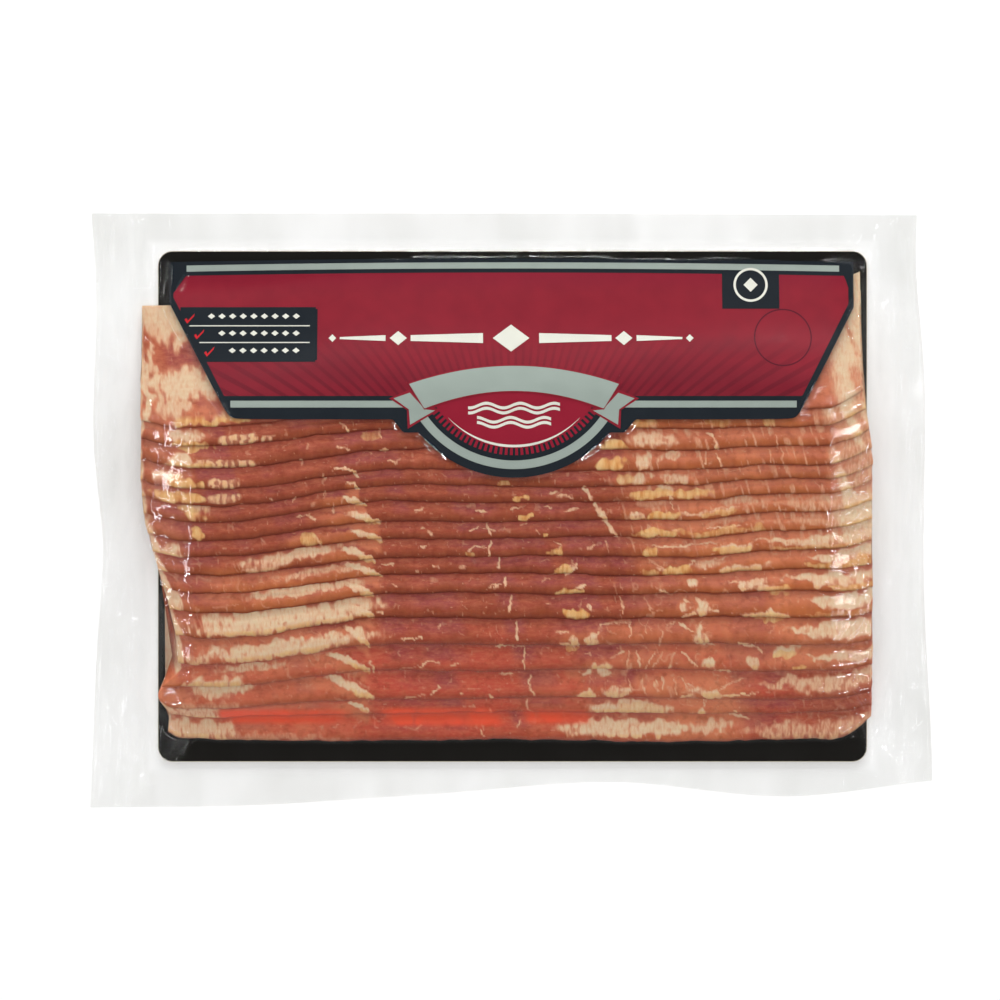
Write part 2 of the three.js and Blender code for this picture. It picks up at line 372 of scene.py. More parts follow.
class Shader:
    """A node tree under construction: each call adds one node and wires or sets its inputs."""

    def __init__(self, tree):
        self.tree = tree

    def node(self, kind, inputs=None, **settings):
        """A new node: a socket among the inputs is wired, any other value is set."""
        made = self.tree.nodes.new("ShaderNode" + kind)
        for name, value in settings.items():
            setattr(made, name, value)
        for key, value in (inputs or {}).items():
            socket = made.inputs[key]
            if isinstance(value, bpy.types.NodeSocket):
                self.tree.links.new(value, socket)
            elif socket.type == "RGBA" and len(value) == 3:
                socket.default_value = (*value, 1.0)
            else:
                socket.default_value = value
        return made

    def math(self, operation, a, b=0.0, c=0.0):
        """One sum of up to three values, by the name of its operation."""
        inputs = {0: a, 1: b, 2: c}
        return self.node("Math", inputs, operation=operation).outputs[0]

    def mix(self, share, a, b):
        """Colour a where the share is 0 and b where it is 1."""
        inputs = {0: share, 6: a, 7: b}
        return self.node("Mix", inputs, data_type="RGBA").outputs[2]

    def spread(self, value, low, high, to_low=0.0, to_high=1.0):
        """The stretch from low to high drawn out over the two new limits, and held past them."""
        inputs = {"Value": value, "From Min": low, "From Max": high,
                  "To Min": to_low, "To Max": to_high}
        return self.node("MapRange", inputs, clamp=True).outputs[0]

    def mask(self, name):
        """A mask that the mesh carries."""
        return self.node("Attribute", attribute_name=name).outputs["Fac"]

    def place(self, stretch=(1, 1, 1)):
        """Object coordinates, in metres, stretched by a factor along each axis."""
        here = self.node("TexCoord").outputs["Object"]
        return self.node("Mapping", {"Vector": here, "Scale": stretch}).outputs[0]

    def grain(self, scale, detail=2.0, stretch=(1, 1, 1)):
        """Noise from 0 to 1 over the stretched object coordinates."""
        inputs = {"Vector": self.place(stretch), "Scale": scale, "Detail": detail}
        return self.node("TexNoise", inputs).outputs[0]


def new_material(name):
    """An empty material, and a shader that builds its nodes."""
    material = bpy.data.materials.new(name)
    material.use_nodes = True
    material.node_tree.nodes.clear()
    return material, Shader(material.node_tree)


def end_with(shader, surface):
    """Wires the surface to the material's output."""
    shader.node("OutputMaterial", {"Surface": surface})


def fine_grain_group():
    """Shared: fine mottling from 0 to 1 and a small height for bump, at a chosen scale."""
    if "Fine grain" in bpy.data.node_groups:
        return bpy.data.node_groups["Fine grain"]
    group = bpy.data.node_groups.new("Fine grain", "ShaderNodeTree")
    group.interface.new_socket("Scale", in_out="INPUT", socket_type="NodeSocketFloat")
    group.interface.new_socket("Mottle", in_out="OUTPUT", socket_type="NodeSocketFloat")
    group.interface.new_socket("Height", in_out="OUTPUT", socket_type="NodeSocketFloat")
    shader = Shader(group)
    given = group.nodes.new("NodeGroupInput")
    out = group.nodes.new("NodeGroupOutput")
    scale = given.outputs[0]
    coarse = shader.grain(scale, 3.0)
    fine = shader.grain(shader.math("MULTIPLY", scale, 3.7), 1.0)
    group.links.new(shader.spread(coarse, 0.3, 0.7), out.inputs[0])
    group.links.new(fine, out.inputs[1])
    return group


def fine_grain(shader, scale):
    """The shared group, as a node of this shader."""
    made = shader.node("Group", node_tree=fine_grain_group())
    made.inputs["Scale"].default_value = scale
    return made


def grain_bump(shader, height, strength, distance):
    """The surface normal, tilted by the slope of a height."""
    inputs = {"Strength": strength, "Distance": distance, "Height": height}
    return shader.node("Bump", inputs).outputs[0]


def meat_material(look):
    """Cured pork: lean, smoked edge, fat and gilded fat from the masks, broken up by noise."""
    material, s = new_material("cured pork")
    grain = fine_grain(s, 420.0)
    mottle = grain.outputs["Mottle"]
    fibre = s.grain(260.0, 3.0, (1.0, 3.2, 1.0))
    striae = s.grain(700.0, 2.0, (1.0, 0.24, 0.4))
    lean = s.mix(s.mask("rosy"), look.lean, look.rosy)
    lean = s.mix(s.math("MULTIPLY", s.mask("cool"), 0.8), lean, look.cool)
    lean = s.mix(s.mask("salmon"), lean, look.salmon)
    lean = s.mix(s.spread(fibre, 0.4, 0.66, 0.0, 0.26), lean, look.salmon)
    slant = s.grain(1500.0, 2.0, (0.5, 1.0, 1.0))
    lean = s.mix(s.spread(slant, 0.5, 0.75, 0.0, 0.3), lean, look.salmon)
    lean = s.mix(s.spread(mottle, 0.0, 0.5, 0.3, 0.0), lean, look.crease)
    warm = s.math("MULTIPLY_ADD", striae, 0.6, s.math("SUBTRACT", s.mask("salmon"), 0.3))
    edge = s.mix(s.spread(warm, 0.0, 1.0), look.smoke_dark, look.smoke_light)
    tissue = s.mix(s.math("MULTIPLY", s.mask("smoke"), 0.8), lean, edge)
    fray = s.grain(1300.0, 2.0, (1.0, 0.3, 0.4))
    fatty = s.math("MULTIPLY", s.mask("fat"), s.spread(fray, 0.3, 0.7, 0.6, 1.3))
    fat = s.mix(s.spread(fibre, 0.35, 0.7, 0.0, 0.3), look.fat, look.fat_pink)
    tissue = s.mix(s.spread(fatty, 0.05, 0.55), tissue, look.fat_pink)
    tissue = s.mix(s.spread(fatty, 0.35, 0.95), tissue, fat)
    gilding = s.math("MULTIPLY", s.mask("gold"), s.spread(striae, 0.25, 0.75, 0.7, 1.15))
    gold = s.mix(s.spread(striae, 0.3, 0.75), look.gold, look.gold_pale)
    tissue = s.mix(s.spread(gilding, 0.2, 0.8, 0.0, 0.9), tissue, gold)
    # Painted glow of light through the thin lean at the foot of the pile
    tissue = s.mix(s.math("MULTIPLY", s.mask("painted_glow"), 0.95), tissue, look.painted_glow)
    # Painted shade in the creases between slices
    tissue = s.mix(s.mask("painted_crease_shade"), tissue, look.crease)
    normal = grain_bump(s, grain.outputs["Height"], 0.25, 0.0003)
    body = s.node("BsdfPrincipled", {
        "Base Color": tissue, "Roughness": s.spread(mottle, 0.0, 1.0, 0.34, 0.5),
        "Specular IOR Level": 0.15, "Normal": normal,
        "Subsurface Weight": 0.3, "Subsurface Radius": (1.0, 0.35, 0.2), "Subsurface Scale": 0.0016,
    })
    end_with(s, body.outputs[0])
    return material


BOARD_MOTTLE = (0.012, 0.011, 0.01)


def board_material(look):
    """Black laminate with faint mottling, and a paler and rougher cut edge by its mask."""
    material, s = new_material("black laminate")
    grain = fine_grain(s, 60.0)
    cut = s.mask("cut")
    mottle = s.spread(grain.outputs["Mottle"], 0.0, 1.0, 0.0, 0.35)
    black = s.mix(mottle, look.board, BOARD_MOTTLE)
    body = s.node("BsdfPrincipled", {
        "Base Color": s.mix(cut, black, look.board_cut),
        "Roughness": s.spread(cut, 0.0, 1.0, 0.28, 0.7), "Specular IOR Level": 0.25,
        "Normal": grain_bump(s, grain.outputs["Height"], 0.05, 0.0002),
    })
    end_with(s, body.outputs[0])
    return material


# Inks that have no setting of their own
RAY_SHADE = linear(96, 20, 36)
DEEP_CRIMSON = linear(132, 12, 42)
MEDALLION_INK = linear(150, 24, 48)
RED_INK = linear(206, 36, 44)
STAMP_INK = linear(92, 20, 38)


def rayed_ink(s, ink, dark):
    """The ink with faint rays from a point below the medallion, a cloudy shade over the lower
    part of the field, and a deeper colour along its top."""
    here = s.node("SeparateXYZ", {0: s.node("TexCoord").outputs["Object"]})
    height = here.outputs[1]
    across = s.math("SUBTRACT", here.outputs[0], MEDALLION_X * MM)
    up = s.math("SUBTRACT", height, (MEDALLION_Y - 60) * MM)
    angle = s.math("ARCTAN2", up, across)
    wave = s.math("SINE", s.math("MULTIPLY", angle, 150.0))
    line = s.math("MULTIPLY", s.spread(wave, 0.25, 0.6), s.spread(height, 0.036, 0.06, 1.0, 0.0))
    ink = s.mix(s.math("MULTIPLY", line, 0.75), ink, dark)
    cloud = s.grain(26.0, 1.0, (0.6, 1.6, 1.0))
    shade = s.math("MULTIPLY", cloud, s.spread(height, 0.045, 0.068, 1.0, 0.2))
    ink = s.mix(s.spread(shade, 0.3, 0.62, 0.0, 0.5), ink, dark)
    top = s.spread(height, 0.0735, 0.0785)
    return s.mix(s.math("MULTIPLY", top, 0.5), ink, DEEP_CRIMSON)


def print_material(name, colour, dark=None, rays=False, rough=0.38):
    """Printed ink: the colour with fine mottling towards a darker one."""
    material, s = new_material(name)
    mottle = fine_grain(s, 150.0).outputs["Mottle"]
    dark = [0.72 * part for part in colour] if dark is None else dark
    ink = s.mix(s.spread(mottle, 0.0, 1.0, 0.22, 0.0), colour, dark)
    if rays:
        ink = rayed_ink(s, ink, dark)
    body = s.node("BsdfPrincipled", {
        "Base Color": ink, "Roughness": s.spread(mottle, 0.0, 1.0, rough, rough + 0.1),
        "Specular IOR Level": 0.12,
    })
    end_with(s, body.outputs[0])
    return material


FILM_CLEAR = (0.992, 0.992, 0.992)


def film_material(look):
    """Clear film: see-through, milky in streaks on the flange, with a mirror share that follows
    the angle. Both show to the camera only, so that the light underneath stays even."""
    material, s = new_material("clear film")
    fine = s.math("MULTIPLY", fine_grain(s, 260.0).outputs["Height"], 0.25)
    height = s.math("MULTIPLY_ADD", s.grain(75.0, 3.0), 2.0, fine)
    height = s.math("MULTIPLY", height, s.mask("loose"))
    normal = grain_bump(s, height, look.film_crinkle, 0.0006)
    seen = s.node("LightPath").outputs["Is Camera Ray"]
    streaks = s.math("ADD", s.grain(60.0, 3.0, (1.0, 0.3, 1.0)), s.grain(17.0, 2.0))
    milky = s.math("MULTIPLY", s.mask("flange"), s.spread(streaks, 0.7, 1.3, 0.35, 1.0))
    tint = s.mix(s.math("MULTIPLY", milky, seen), FILM_CLEAR, look.flange_tint)
    clear = s.node("BsdfTransparent", {"Color": tint})
    gloss = s.node("BsdfPrincipled", {
        "Base Color": (1.0, 1.0, 1.0), "Metallic": 1.0, "Roughness": look.film_roughness,
        "Normal": normal,
    })
    fresnel = s.node("Fresnel", {"IOR": 1.5, "Normal": normal}).outputs[0]
    mirror = s.math("MINIMUM", s.math("MULTIPLY", fresnel, look.film_mirror), 1.0)
    share = s.math("MULTIPLY", mirror, seen)
    skin = s.node("MixShader", {0: share, 1: clear.outputs[0], 2: gloss.outputs[0]})
    end_with(s, skin.outputs[0])
    return material


# Tissue of the slices

# Places on the pile. Patches: x from, x to, y from, y to, strength
FAT = [
    (-125, -107.5, 56.6, 75, 0.95), (-122.8, -99.1, 37.2, 47.6, 1), (-125, -121.9, 9.5, 57.5, 0.9),
    (-119.4, -107.5, 31, 38.3, 0.75), (-101.9, -91.2, 29.6, 32.7, 0.6), (-115.4, -102.5, 23.1, 27, 0.8),
    (-116, -107, 15.2, 19.4, 1), (-122.8, -114.3, 9, 12.9, 0.8), (-110.4, -103.6, -3.4, 5, 0.5),
    (-124.4, -119.9, -16.8, 9.5, 0.45), (-121.1, -112, -17.5, -12.4, 0.8),
    (-90.9, -56.4, -17, -13.2, 0.75), (-90.9, -77.9, -20.7, -17.4, 0.45),
    (-77.9, -49.9, -22.1, -19.5, 0.5), (-90.9, -52.7, -29.1, -25.4, 0.75),
    (-106.8, -49.9, -41.7, -32.4, 1), (-104, -48, -48.7, -42.8, 0.95), (-98.4, -77.9, -54.7, -51.5, 0.6),
    (-106.3, -90.9, -63.6, -56.6, 0.9), (-119.8, -111.9, -17.4, -10.9, 0.8),
    (-119.4, -111.9, -35.6, -27.7, 0.85), (-115.2, -90.9, -69.6, -64.5, 0.35),
    (-117, -96.5, -73.4, -65, 0.6), (-121, -95, -78, -71, 0.75), (-112, -60, -79, -75.6, 0.3),
    (-112.4, -99.3, -51.9, -48.7, 0.55), (39.7, 54.2, 21.5, 26.9, 0.7),
    (41.4, 47.6, 14.9, 20.3, 0.85), (51.7, 56.4, 16, 19.9, 0.6), (37.7, 47.3, 8.7, 12.8, 0.85),
    (52.1, 61.6, 9.1, 12.8, 0.6), (49.2, 54.2, 4.6, 8.7, 0.7), (43.9, 55.4, 1.3, 4.2, 0.35),
    (39.7, 44.3, -3.6, -0.3, 0.8), (57.9, 67.8, 4.4, 6.9, 0.5), (56.2, 63.6, -2.5, -0.8, 0.6),
    (62.8, 77.6, -1.5, 0.3, 0.6), (69.4, 82.6, -13.9, -11, 0.75), (62.8, 71, -19.3, -16.4, 0.55),
    (70.2, 88.4, -20.3, -18.1, 0.7), (59.5, 65.3, -25.5, -23, 0.9), (78.1, 85.5, -26.9, -23.2, 0.85),
    (80.9, 90.8, -28.4, -25.5, 0.7), (60.3, 65.3, -34.9, -29.2, 0.95), (80.1, 92.9, -37.6, -34, 0.9),
    (61.2, 66.9, -45.5, -39.1, 0.95), (78.1, 83, -52.4, -48.3, 0.8), (62.8, 69.4, -54.9, -51, 0.95),
    (87.5, 97.8, -49.1, -45.1, 0.85), (31.5, 36.8, -64, -59.7, 0.7), (62.8, 69.4, -63.6, -60.5, 0.85),
    (29, 54.6, -69.9, -64.6, 0.8), (61.2, 68.2, -70.5, -66.4, 0.85), (16.7, 60.3, -77.1, -71, 0.95),
    (59.5, 76.8, -75.5, -71, 0.7), (76, 109.8, -77.8, -72, 0.45), (85.9, 115.5, -61.3, -55.4, 0.55),
    (86.7, 118, -0.3, 4.8, 0.4), (87.5, 118.8, -5.3, -2, 0.4), (84.2, 118.8, -11.9, -8.2, 0.8),
    (99.1, 119.7, -17.2, -13.7, 0.85), (90.8, 118.8, -25.2, -20.6, 0.9), (98.2, 119.3, -33.5, -28.4, 1),
    (93.3, 119.3, -43.6, -37.8, 0.9), (100.7, 119.7, -51.8, -47.7, 0.8), (69.4, 87.5, 1.3, 5, 0.45),
    (66.1, 82.6, -4.5, -2, 0.3), (19.1, 23.4, -46.7, -43.2, 0.9), (25.9, 29.9, -46.7, -41.8, 0.85),
    (22.5, 25.9, -55.5, -52.7, 0.9), (27.6, 34.1, -55.7, -51.2, 0.9), (23.1, 28.4, -64.2, -60.8, 0.85),
    (29.9, 38.9, -69.7, -64.6, 0.8), (33.2, 38.9, -64.1, -60.1, 0.7),
]
GOLD = [
    (-116.6, -87.2, 28.4, 31.3, 0.8), (-116, -99.1, 20.1, 23.2, 0.85), (-117.7, -99.1, 12.9, 16, 0.8),
    (-117.7, -104.1, 6.7, 11, 0.85), (-120.5, -104.7, 2.2, 6.2, 0.85), (-111.2, -103.6, -3.4, 1.7, 0.7),
    (-109.2, -103.9, -10.2, -5.7, 0.9), (-72.6, -63.6, -13, -7.9, 0.7), (-50.6, -42.7, 24.2, 27.6, 0.5),
    (37.3, 48, 27, 31.8, 0.6), (66.1, 74.3, 27.7, 31.4, 0.45), (84.6, 88.8, 27.7, 31.8, 0.6),
    (30.3, 40.6, 19.4, 23.1, 0.85), (28.2, 38.5, 13.5, 18.1, 0.9), (36.4, 41.4, 9.1, 12.8, 0.6),
    (40.1, 53.7, 3.6, 7.2, 0.85), (54.2, 68.2, 3.8, 6.9, 0.8), (43.9, 56.6, -3.8, -0.5, 0.9),
    (62.8, 77.6, -2.5, -0.5, 0.65), (42.2, 58.3, -9.2, -6.1, 0.9), (57.9, 80.1, -8.6, -6.1, 0.6),
    (81.3, 87.9, -7.3, -4.5, 0.6), (43.9, 47.3, -15.3, -11.9, 0.85), (67.8, 82.6, -14.7, -11.9, 0.8),
    (52.1, 63.2, -21.9, -18.5, 0.85), (45.1, 50.6, -22.2, -19.3, 0.6), (70.2, 88.4, -21.1, -19, 0.7),
    (85.5, 93.7, -28.5, -25.7, 0.75), (80.1, 92.9, -37.8, -34.9, 0.7), (87.5, 97.8, -49.4, -46.5, 0.7),
    (95.4, 99.5, -54.4, -52.7, 0.8), (36.4, 53.3, -69.6, -65, 0.4), (85.9, 118.8, -13.9, -11, 0.55),
    (97.8, 119.7, -20.4, -16.8, 0.7), (104.8, 119.3, -28, -24.9, 0.7), (94.9, 118.8, -37, -34, 0.45),
    (0.3, 5.3, 3, 5.2, 0.9), (4.6, 7, -3.2, -0.8, 0.95), (12.3, 14.3, -8.9, -7, 0.95),
    (12.4, 17.7, -15.7, -13.2, 0.85), (16.6, 22, -22.1, -19, 0.85), (16.3, 25.1, -28.9, -26, 0.9),
    (17.2, 27.3, -37.3, -33.5, 0.95), (-16.4, -12.4, -15.7, -13.6, 0.6), (19.4, 23.4, -46.9, -45.2, 0.6),
    (-4, -0.6, 8.7, 10.4, 0.5),
]
SALMON = [
    (-121.6, -103, 47.6, 56.8, 1), (-122.2, -114.3, 32.1, 43.4, 0.95), (-107.5, -92.3, 31.3, 37.7, 0.8),
    (-121.9, -114, 23.6, 29.6, 0.9), (-122.8, -107.5, 19.1, 22.5, 0.5), (-122.8, -117.1, 11.8, 18.6, 0.7),
    (-121.1, -109.2, -12.4, 2.2, 0.5), (-72.6, -55.7, -12.4, -7.4, 0.7), (-118, -104, -67.8, -51.9, 1),
    (-90.9, -49, -31.4, -17.4, 0.6), (-120.8, -104, -46.3, -22.1, 0.6), (-104, -49.9, -56.6, -49.1, 0.6),
    (-92.8, -48, -67.8, -57.5, 0.5), (29.8, 59.5, -46.5, -37.4, 0.7), (33.1, 62.8, -54.3, -46.9, 0.75),
    (36.4, 69.4, -64.2, -55.5, 0.95), (36.4, 53.7, -69.6, -63.8, 0.8), (69.4, 82.6, -62.1, -56.4, 0.6),
    (66.1, 111.4, -1.2, 5, 0.55), (82.6, 115.5, -13.5, -2, 0.6), (90.8, 107.3, -20.1, -13.5, 0.4),
    (105.7, 119.7, 4.6, 37.6, 0.6), (55.4, 90.8, 20.3, 26.9, 0.35),
]
# Threads of fat: x, y, x, y, half-width, strength
VEINS = [
    (-7.8, -3.7, -7.4, -8.2, 0.28, 0.8), (-9.6, -6.1, -6, -6.5, 0.22, 0.6),
    (-7.2, -10.5, -7.7, -15.3, 0.3, 0.85), (-11.9, -11.9, -8.5, -12.9, 0.22, 0.7),
    (-11.9, -11.9, -14.7, -13.9, 0.24, 0.7), (-3.7, -16.1, -4.1, -19.6, 0.32, 0.9),
    (-1.8, -22.4, -2.2, -25.7, 0.38, 0.95), (-3.4, -25, -6.2, -26.3, 0.2, 0.6),
    (-0.1, -29.1, -0.6, -34.5, 0.36, 0.9), (2.2, -37.6, 1.7, -43.9, 0.38, 0.9),
    (-5.1, -46, -0.6, -45.7, 0.22, 0.8), (-0.6, -45.7, 4.2, -46.2, 0.18, 0.5),
    (4.4, -47, 4, -51.7, 0.34, 0.85), (4, -51.7, 4.8, -53.9, 0.26, 0.8),
    (-4.3, -55.2, 0.3, -55.5, 0.26, 0.8), (6.8, -55.9, 5.9, -59.8, 0.3, 0.8),
    (5.9, -59.8, 7.6, -62.8, 0.3, 0.8), (5.9, -64.6, 5.6, -66.9, 0.22, 0.6),
    (5.6, -66.9, 7.6, -68.5, 0.22, 0.6), (1.9, -73.6, 3.1, -71.4, 0.24, 0.7),
    (-37.2, -43.5, -32.7, -43.5, 0.28, 0.8), (-32.2, -43.5, -30.2, -42.5, 0.26, 0.8),
    (-30.8, -53.3, -28.2, -50.8, 0.26, 0.85), (-28.2, -50.8, -24.3, -51.4, 0.22, 0.7),
    (-20.6, -52.8, -17.5, -51.7, 0.3, 0.8), (-37.8, -53.9, -31.6, -52.2, 0.16, 0.4),
    (-27.9, -62.4, -24.3, -59.5, 0.24, 0.7), (-35.6, -63.4, -28.8, -62.5, 0.18, 0.5),
    (12.9, 5.6, 15.2, 6.3, 0.34, 0.8), (16.3, 5, 20, 4.8, 0.3, 0.8), (20, 4.8, 20.8, 3.5, 0.26, 0.7),
    (-0.3, 0.5, 3.6, 1.3, 0.26, 0.7), (18, -0.6, 22.5, 0.5, 0.26, 0.6), (11.2, 1.3, 13.5, 0.8, 0.24, 0.6),
    (-32.7, -0.3, -29.6, 0.7, 0.26, 0.7), (-11.9, -0.1, -8.2, -0.3, 0.3, 0.8),
    (-14.1, -6.8, -11, -5.7, 0.24, 0.7), (8.4, -6.3, 9.8, -7.7, 0.28, 0.8),
    (3.1, -4.9, 5.6, -4.4, 0.2, 0.6), (-27.7, -7.1, -26.8, -8.5, 0.3, 0.7),
    (-30.5, -6, -29.1, -5.8, 0.34, 0.8), (-30.2, -12.5, -28.8, -12.3, 0.34, 0.8),
    (14.6, -10.5, 17.2, -11.3, 0.24, 0.6), (17.2, -11.3, 15.8, -13.6, 0.22, 0.6),
    (31.5, -10.2, 32.7, -13.6, 0.22, 0.6), (25.9, -12.9, 28.4, -11.6, 0.22, 0.5),
    (20, -17, 22, -18.4, 0.26, 0.7), (22, -18.4, 19.8, -20.4, 0.34, 0.8),
    (10.4, -23.9, 12.9, -23, 0.24, 0.7), (22, -26.3, 24.8, -24.9, 0.3, 0.8),
    (-40.6, -25, -38.7, -25.7, 0.26, 0.7), (-7.9, -25.7, -4.5, -24.9, 0.2, 0.5),
    (25.9, -31.6, 27.1, -34.2, 0.3, 0.8), (12.1, -31.6, 13.5, -31.5, 0.3, 0.7),
    (15.5, -40.9, 19.1, -41.1, 0.24, 0.7), (28.2, -41.8, 29.6, -44, 0.26, 0.7),
    (12.9, -21.5, 15.2, -21.2, 0.2, 0.5), (-17.2, -19.2, -15.3, -19, 0.22, 0.6),
    (-26.2, -18.1, -24.6, -19.2, 0.26, 0.7), (-32.2, -20.4, -31, -20.5, 0.3, 0.7),
    (-44, -18.4, -39.5, -18.3, 0.22, 0.7), (-45.7, -34.2, -43.4, -35.2, 0.26, 0.7),
    (26.8, -60.7, 27, -62.9, 0.4, 0.8), (-16.9, -62.1, -16.4, -62.4, 0.4, 0.7),
    (-7.4, -67.7, -6.8, -68.1, 0.45, 0.9), (-7.4, -62.9, -6.2, -63.3, 0.4, 0.8),
    (-10.2, -73.9, -9.6, -76.5, 0.35, 0.8), (-32.2, -74.2, -30.5, -73.1, 0.26, 0.7),
    (-51.3, -67.4, -48, -68.6, 0.35, 0.7), (-48, -51.4, -46.3, -54.5, 0.3, 0.7),
    (-38.1, -47.1, -37.9, -49.4, 0.16, 0.5), (-24.3, -38.7, -25.1, -40.7, 0.18, 0.5),
    (-16.4, -66.3, -11.9, -66.6, 0.16, 0.5), (30.4, -38.7, 37.1, -37.6, 0.3, 0.7),
    (25.3, -48.3, 27.6, -48.9, 0.2, 0.5), (24.5, 7.9, 27.2, 3.9, 0.62, 0.95),
    (28.4, 2.5, 30.3, -1.2, 0.7, 1), (30.3, -0.7, 32.3, -3.5, 0.9, 1), (32.5, -4, 35.3, -8.2, 0.62, 0.95),
    (66.1, 26.2, 67.9, 25.2, 0.34, 0.9), (67.9, 25.2, 69.9, 20.7, 0.34, 0.85),
    (65.3, 19.9, 65.9, 16, 0.24, 0.7), (69.4, 19, 71.2, 14.9, 0.22, 0.7),
    (52.1, 10.4, 53.4, 6.3, 0.26, 0.7), (53.4, 6.3, 55.1, 0.3, 0.22, 0.7), (50, 8.7, 52.1, 8.1, 0.5, 0.8),
    (87, 31.8, 88.2, 27.3, 0.3, 0.6), (89.6, 25.2, 90.2, 21.1, 0.2, 0.5),
    (87.1, 20.3, 88.2, 16, 0.24, 0.6), (91.2, 21.1, 92, 16, 0.22, 0.6),
    (47.8, -12, 52.9, -12.5, 0.3, 0.8), (52.9, -12.5, 61.6, -11.6, 0.28, 0.8),
    (61.6, -11.6, 69.4, -10.9, 0.2, 0.7), (45.1, -7.3, 56.2, -6.8, 0.3, 0.8),
    (66.1, -6.1, 77.6, -5.3, 0.26, 0.7), (46.3, -9.4, 51.3, -8.6, 0.2, 0.5),
    (37.3, -29.2, 38.2, -34.9, 0.22, 0.6), (44.7, -29.2, 47.3, -34.1, 0.16, 0.5),
    (47.3, -34.1, 48.3, -35.4, 0.16, 0.4), (49.6, -25.9, 53.7, -28.4, 0.24, 0.6),
    (61.6, -17.2, 59.5, -19.7, 0.3, 0.7), (61.6, -17.2, 66.1, -20.1, 0.3, 0.7),
    (46.3, -16.4, 51.3, -19.3, 0.2, 0.5), (66.1, -32.5, 70.2, -34.3, 0.34, 0.8),
    (62.8, -34.9, 57.9, -36.2, 0.34, 0.8), (60.3, -30.8, 58.7, -29.6, 0.3, 0.8),
    (64.5, -31.6, 65.7, -29.6, 0.26, 0.6), (56.5, -37.6, 61.6, -41.1, 0.3, 0.85),
    (62.8, -44.8, 69.4, -45.2, 0.3, 0.7), (64, -39.1, 64.5, -37.8, 0.3, 0.7),
    (40.1, -37.8, 40.4, -42.8, 0.3, 0.7), (45.9, -37.4, 45.7, -41.5, 0.2, 0.5),
    (51.3, -40.7, 50, -45.7, 0.26, 0.6), (55.4, -37.8, 52.1, -39.1, 0.2, 0.5),
    (33.1, -38.1, 40.6, -37.6, 0.2, 0.5), (40.1, -47.7, 39.3, -53.5, 0.2, 0.6),
    (42.6, -47.7, 43.4, -53.1, 0.26, 0.7), (48.8, -48.1, 45.9, -53.5, 0.22, 0.6),
    (51.3, -47.7, 48.4, -53.5, 0.2, 0.5), (55.4, -48.1, 53.7, -53.5, 0.24, 0.6),
    (57.9, -48.1, 62.8, -52.3, 0.34, 0.85), (66.1, -50.6, 67.1, -49, 0.3, 0.7),
    (69.4, -54.3, 74.3, -54.1, 0.3, 0.7), (33.6, -49.8, 38.1, -47.7, 0.2, 0.6),
    (51.3, -56.4, 51.7, -60.5, 0.22, 0.6), (57.9, -57.2, 60.3, -61.3, 0.26, 0.7),
    (62.8, -60.5, 59.5, -58.4, 0.3, 0.7), (69.4, -63.1, 83.8, -61.8, 0.34, 0.85),
    (71, -61.3, 74.3, -58, 0.26, 0.7), (74.3, -58, 78.6, -57, 0.26, 0.7),
    (61.2, -62.1, 57.9, -63.4, 0.3, 0.7), (44.7, -57.2, 45.5, -62.6, 0.24, 0.6),
    (48.8, -57.6, 49.6, -61.3, 0.2, 0.6), (55.4, -56.8, 56.2, -62.6, 0.18, 0.5),
    (39.7, -57.2, 41.4, -61.3, 0.18, 0.5), (74.3, -69.1, 80.9, -70.4, 0.4, 0.8),
    (65.3, -64.6, 66.1, -66.4, 0.3, 0.7), (76.8, -69.6, 75.6, -67.9, 0.3, 0.7),
    (76.8, -44.8, 82.6, -45.7, 0.34, 0.8), (82.6, -45.7, 85.1, -47.7, 0.34, 0.8),
    (74.3, -24.6, 77.6, -24.1, 0.3, 0.6), (85.1, -24.6, 86.7, -23, 0.3, 0.6),
    (91.2, -24.2, 92.1, -23.4, 0.3, 0.6), (67.8, -17.2, 72.7, -15.8, 0.26, 0.6),
    (52.1, -20.1, 49.6, -19.3, 0.26, 0.6), (16.7, -44.8, 21.6, -45.7, 0.4, 0.6),
    (26.5, -44.8, 29.8, -41.5, 0.4, 0.7), (20.8, -43.6, 22.8, -45.8, 0.5, 0.8),
    (24.1, -63, 27.4, -61.3, 0.5, 0.7), (16.7, -19.3, 21.6, -18.5, 0.34, 0.7),
    (18.3, -21.8, 22.1, -19.3, 0.4, 0.8), (-57.6, 29.4, -54.5, 26.7, 0.34, 0.85),
    (-58.5, 21.4, -54.2, 20.4, 0.28, 0.75), (-59.6, 14.5, -53.7, 13.5, 0.34, 0.85),
    (-53.1, 12.9, -51.7, 11.4, 0.7, 0.9), (-55.7, 9.3, -52.8, 8.5, 0.32, 0.8),
    (-53.1, 8.5, -52.4, 7.2, 0.45, 0.85), (-63.1, 12.4, -63.4, 8.4, 0.26, 0.6),
    (-62.5, 6.7, -62.9, 4.8, 0.22, 0.5), (-60.3, 2.3, -59.9, -0.6, 0.22, 0.6),
    (-72.3, -2, -69.2, -1.4, 0.22, 0.6), (-68.6, -1.7, -66.4, -3.1, 0.34, 0.8),
    (-69.2, -1.7, -67.5, -1.3, 0.3, 0.7), (-66.9, -7.9, -65.5, -9.6, 0.34, 0.75),
    (-65.5, -9.6, -63.8, -13, 0.3, 0.7), (-44.9, 27.6, -44.1, 24.8, 0.3, 0.6),
    (-68.6, 22.8, -68.5, 21.4, 0.3, 0.6), (-43.8, 20.5, -41.6, 20.3, 0.3, 0.6),
    (-70.9, 17.4, -70.6, 15.2, 0.2, 0.5), (-108.7, -6.5, -106.7, -5.7, 0.4, 0.8),
    (-81.6, 4.2, -81, 3.3, 0.3, 0.6), (-74, 3.1, -73.1, 4.2, 0.3, 0.6),
    (-41.6, 17.2, -39.3, 16, 0.26, 0.6), (-39.3, 16, -37.7, 17.4, 0.26, 0.6),
]

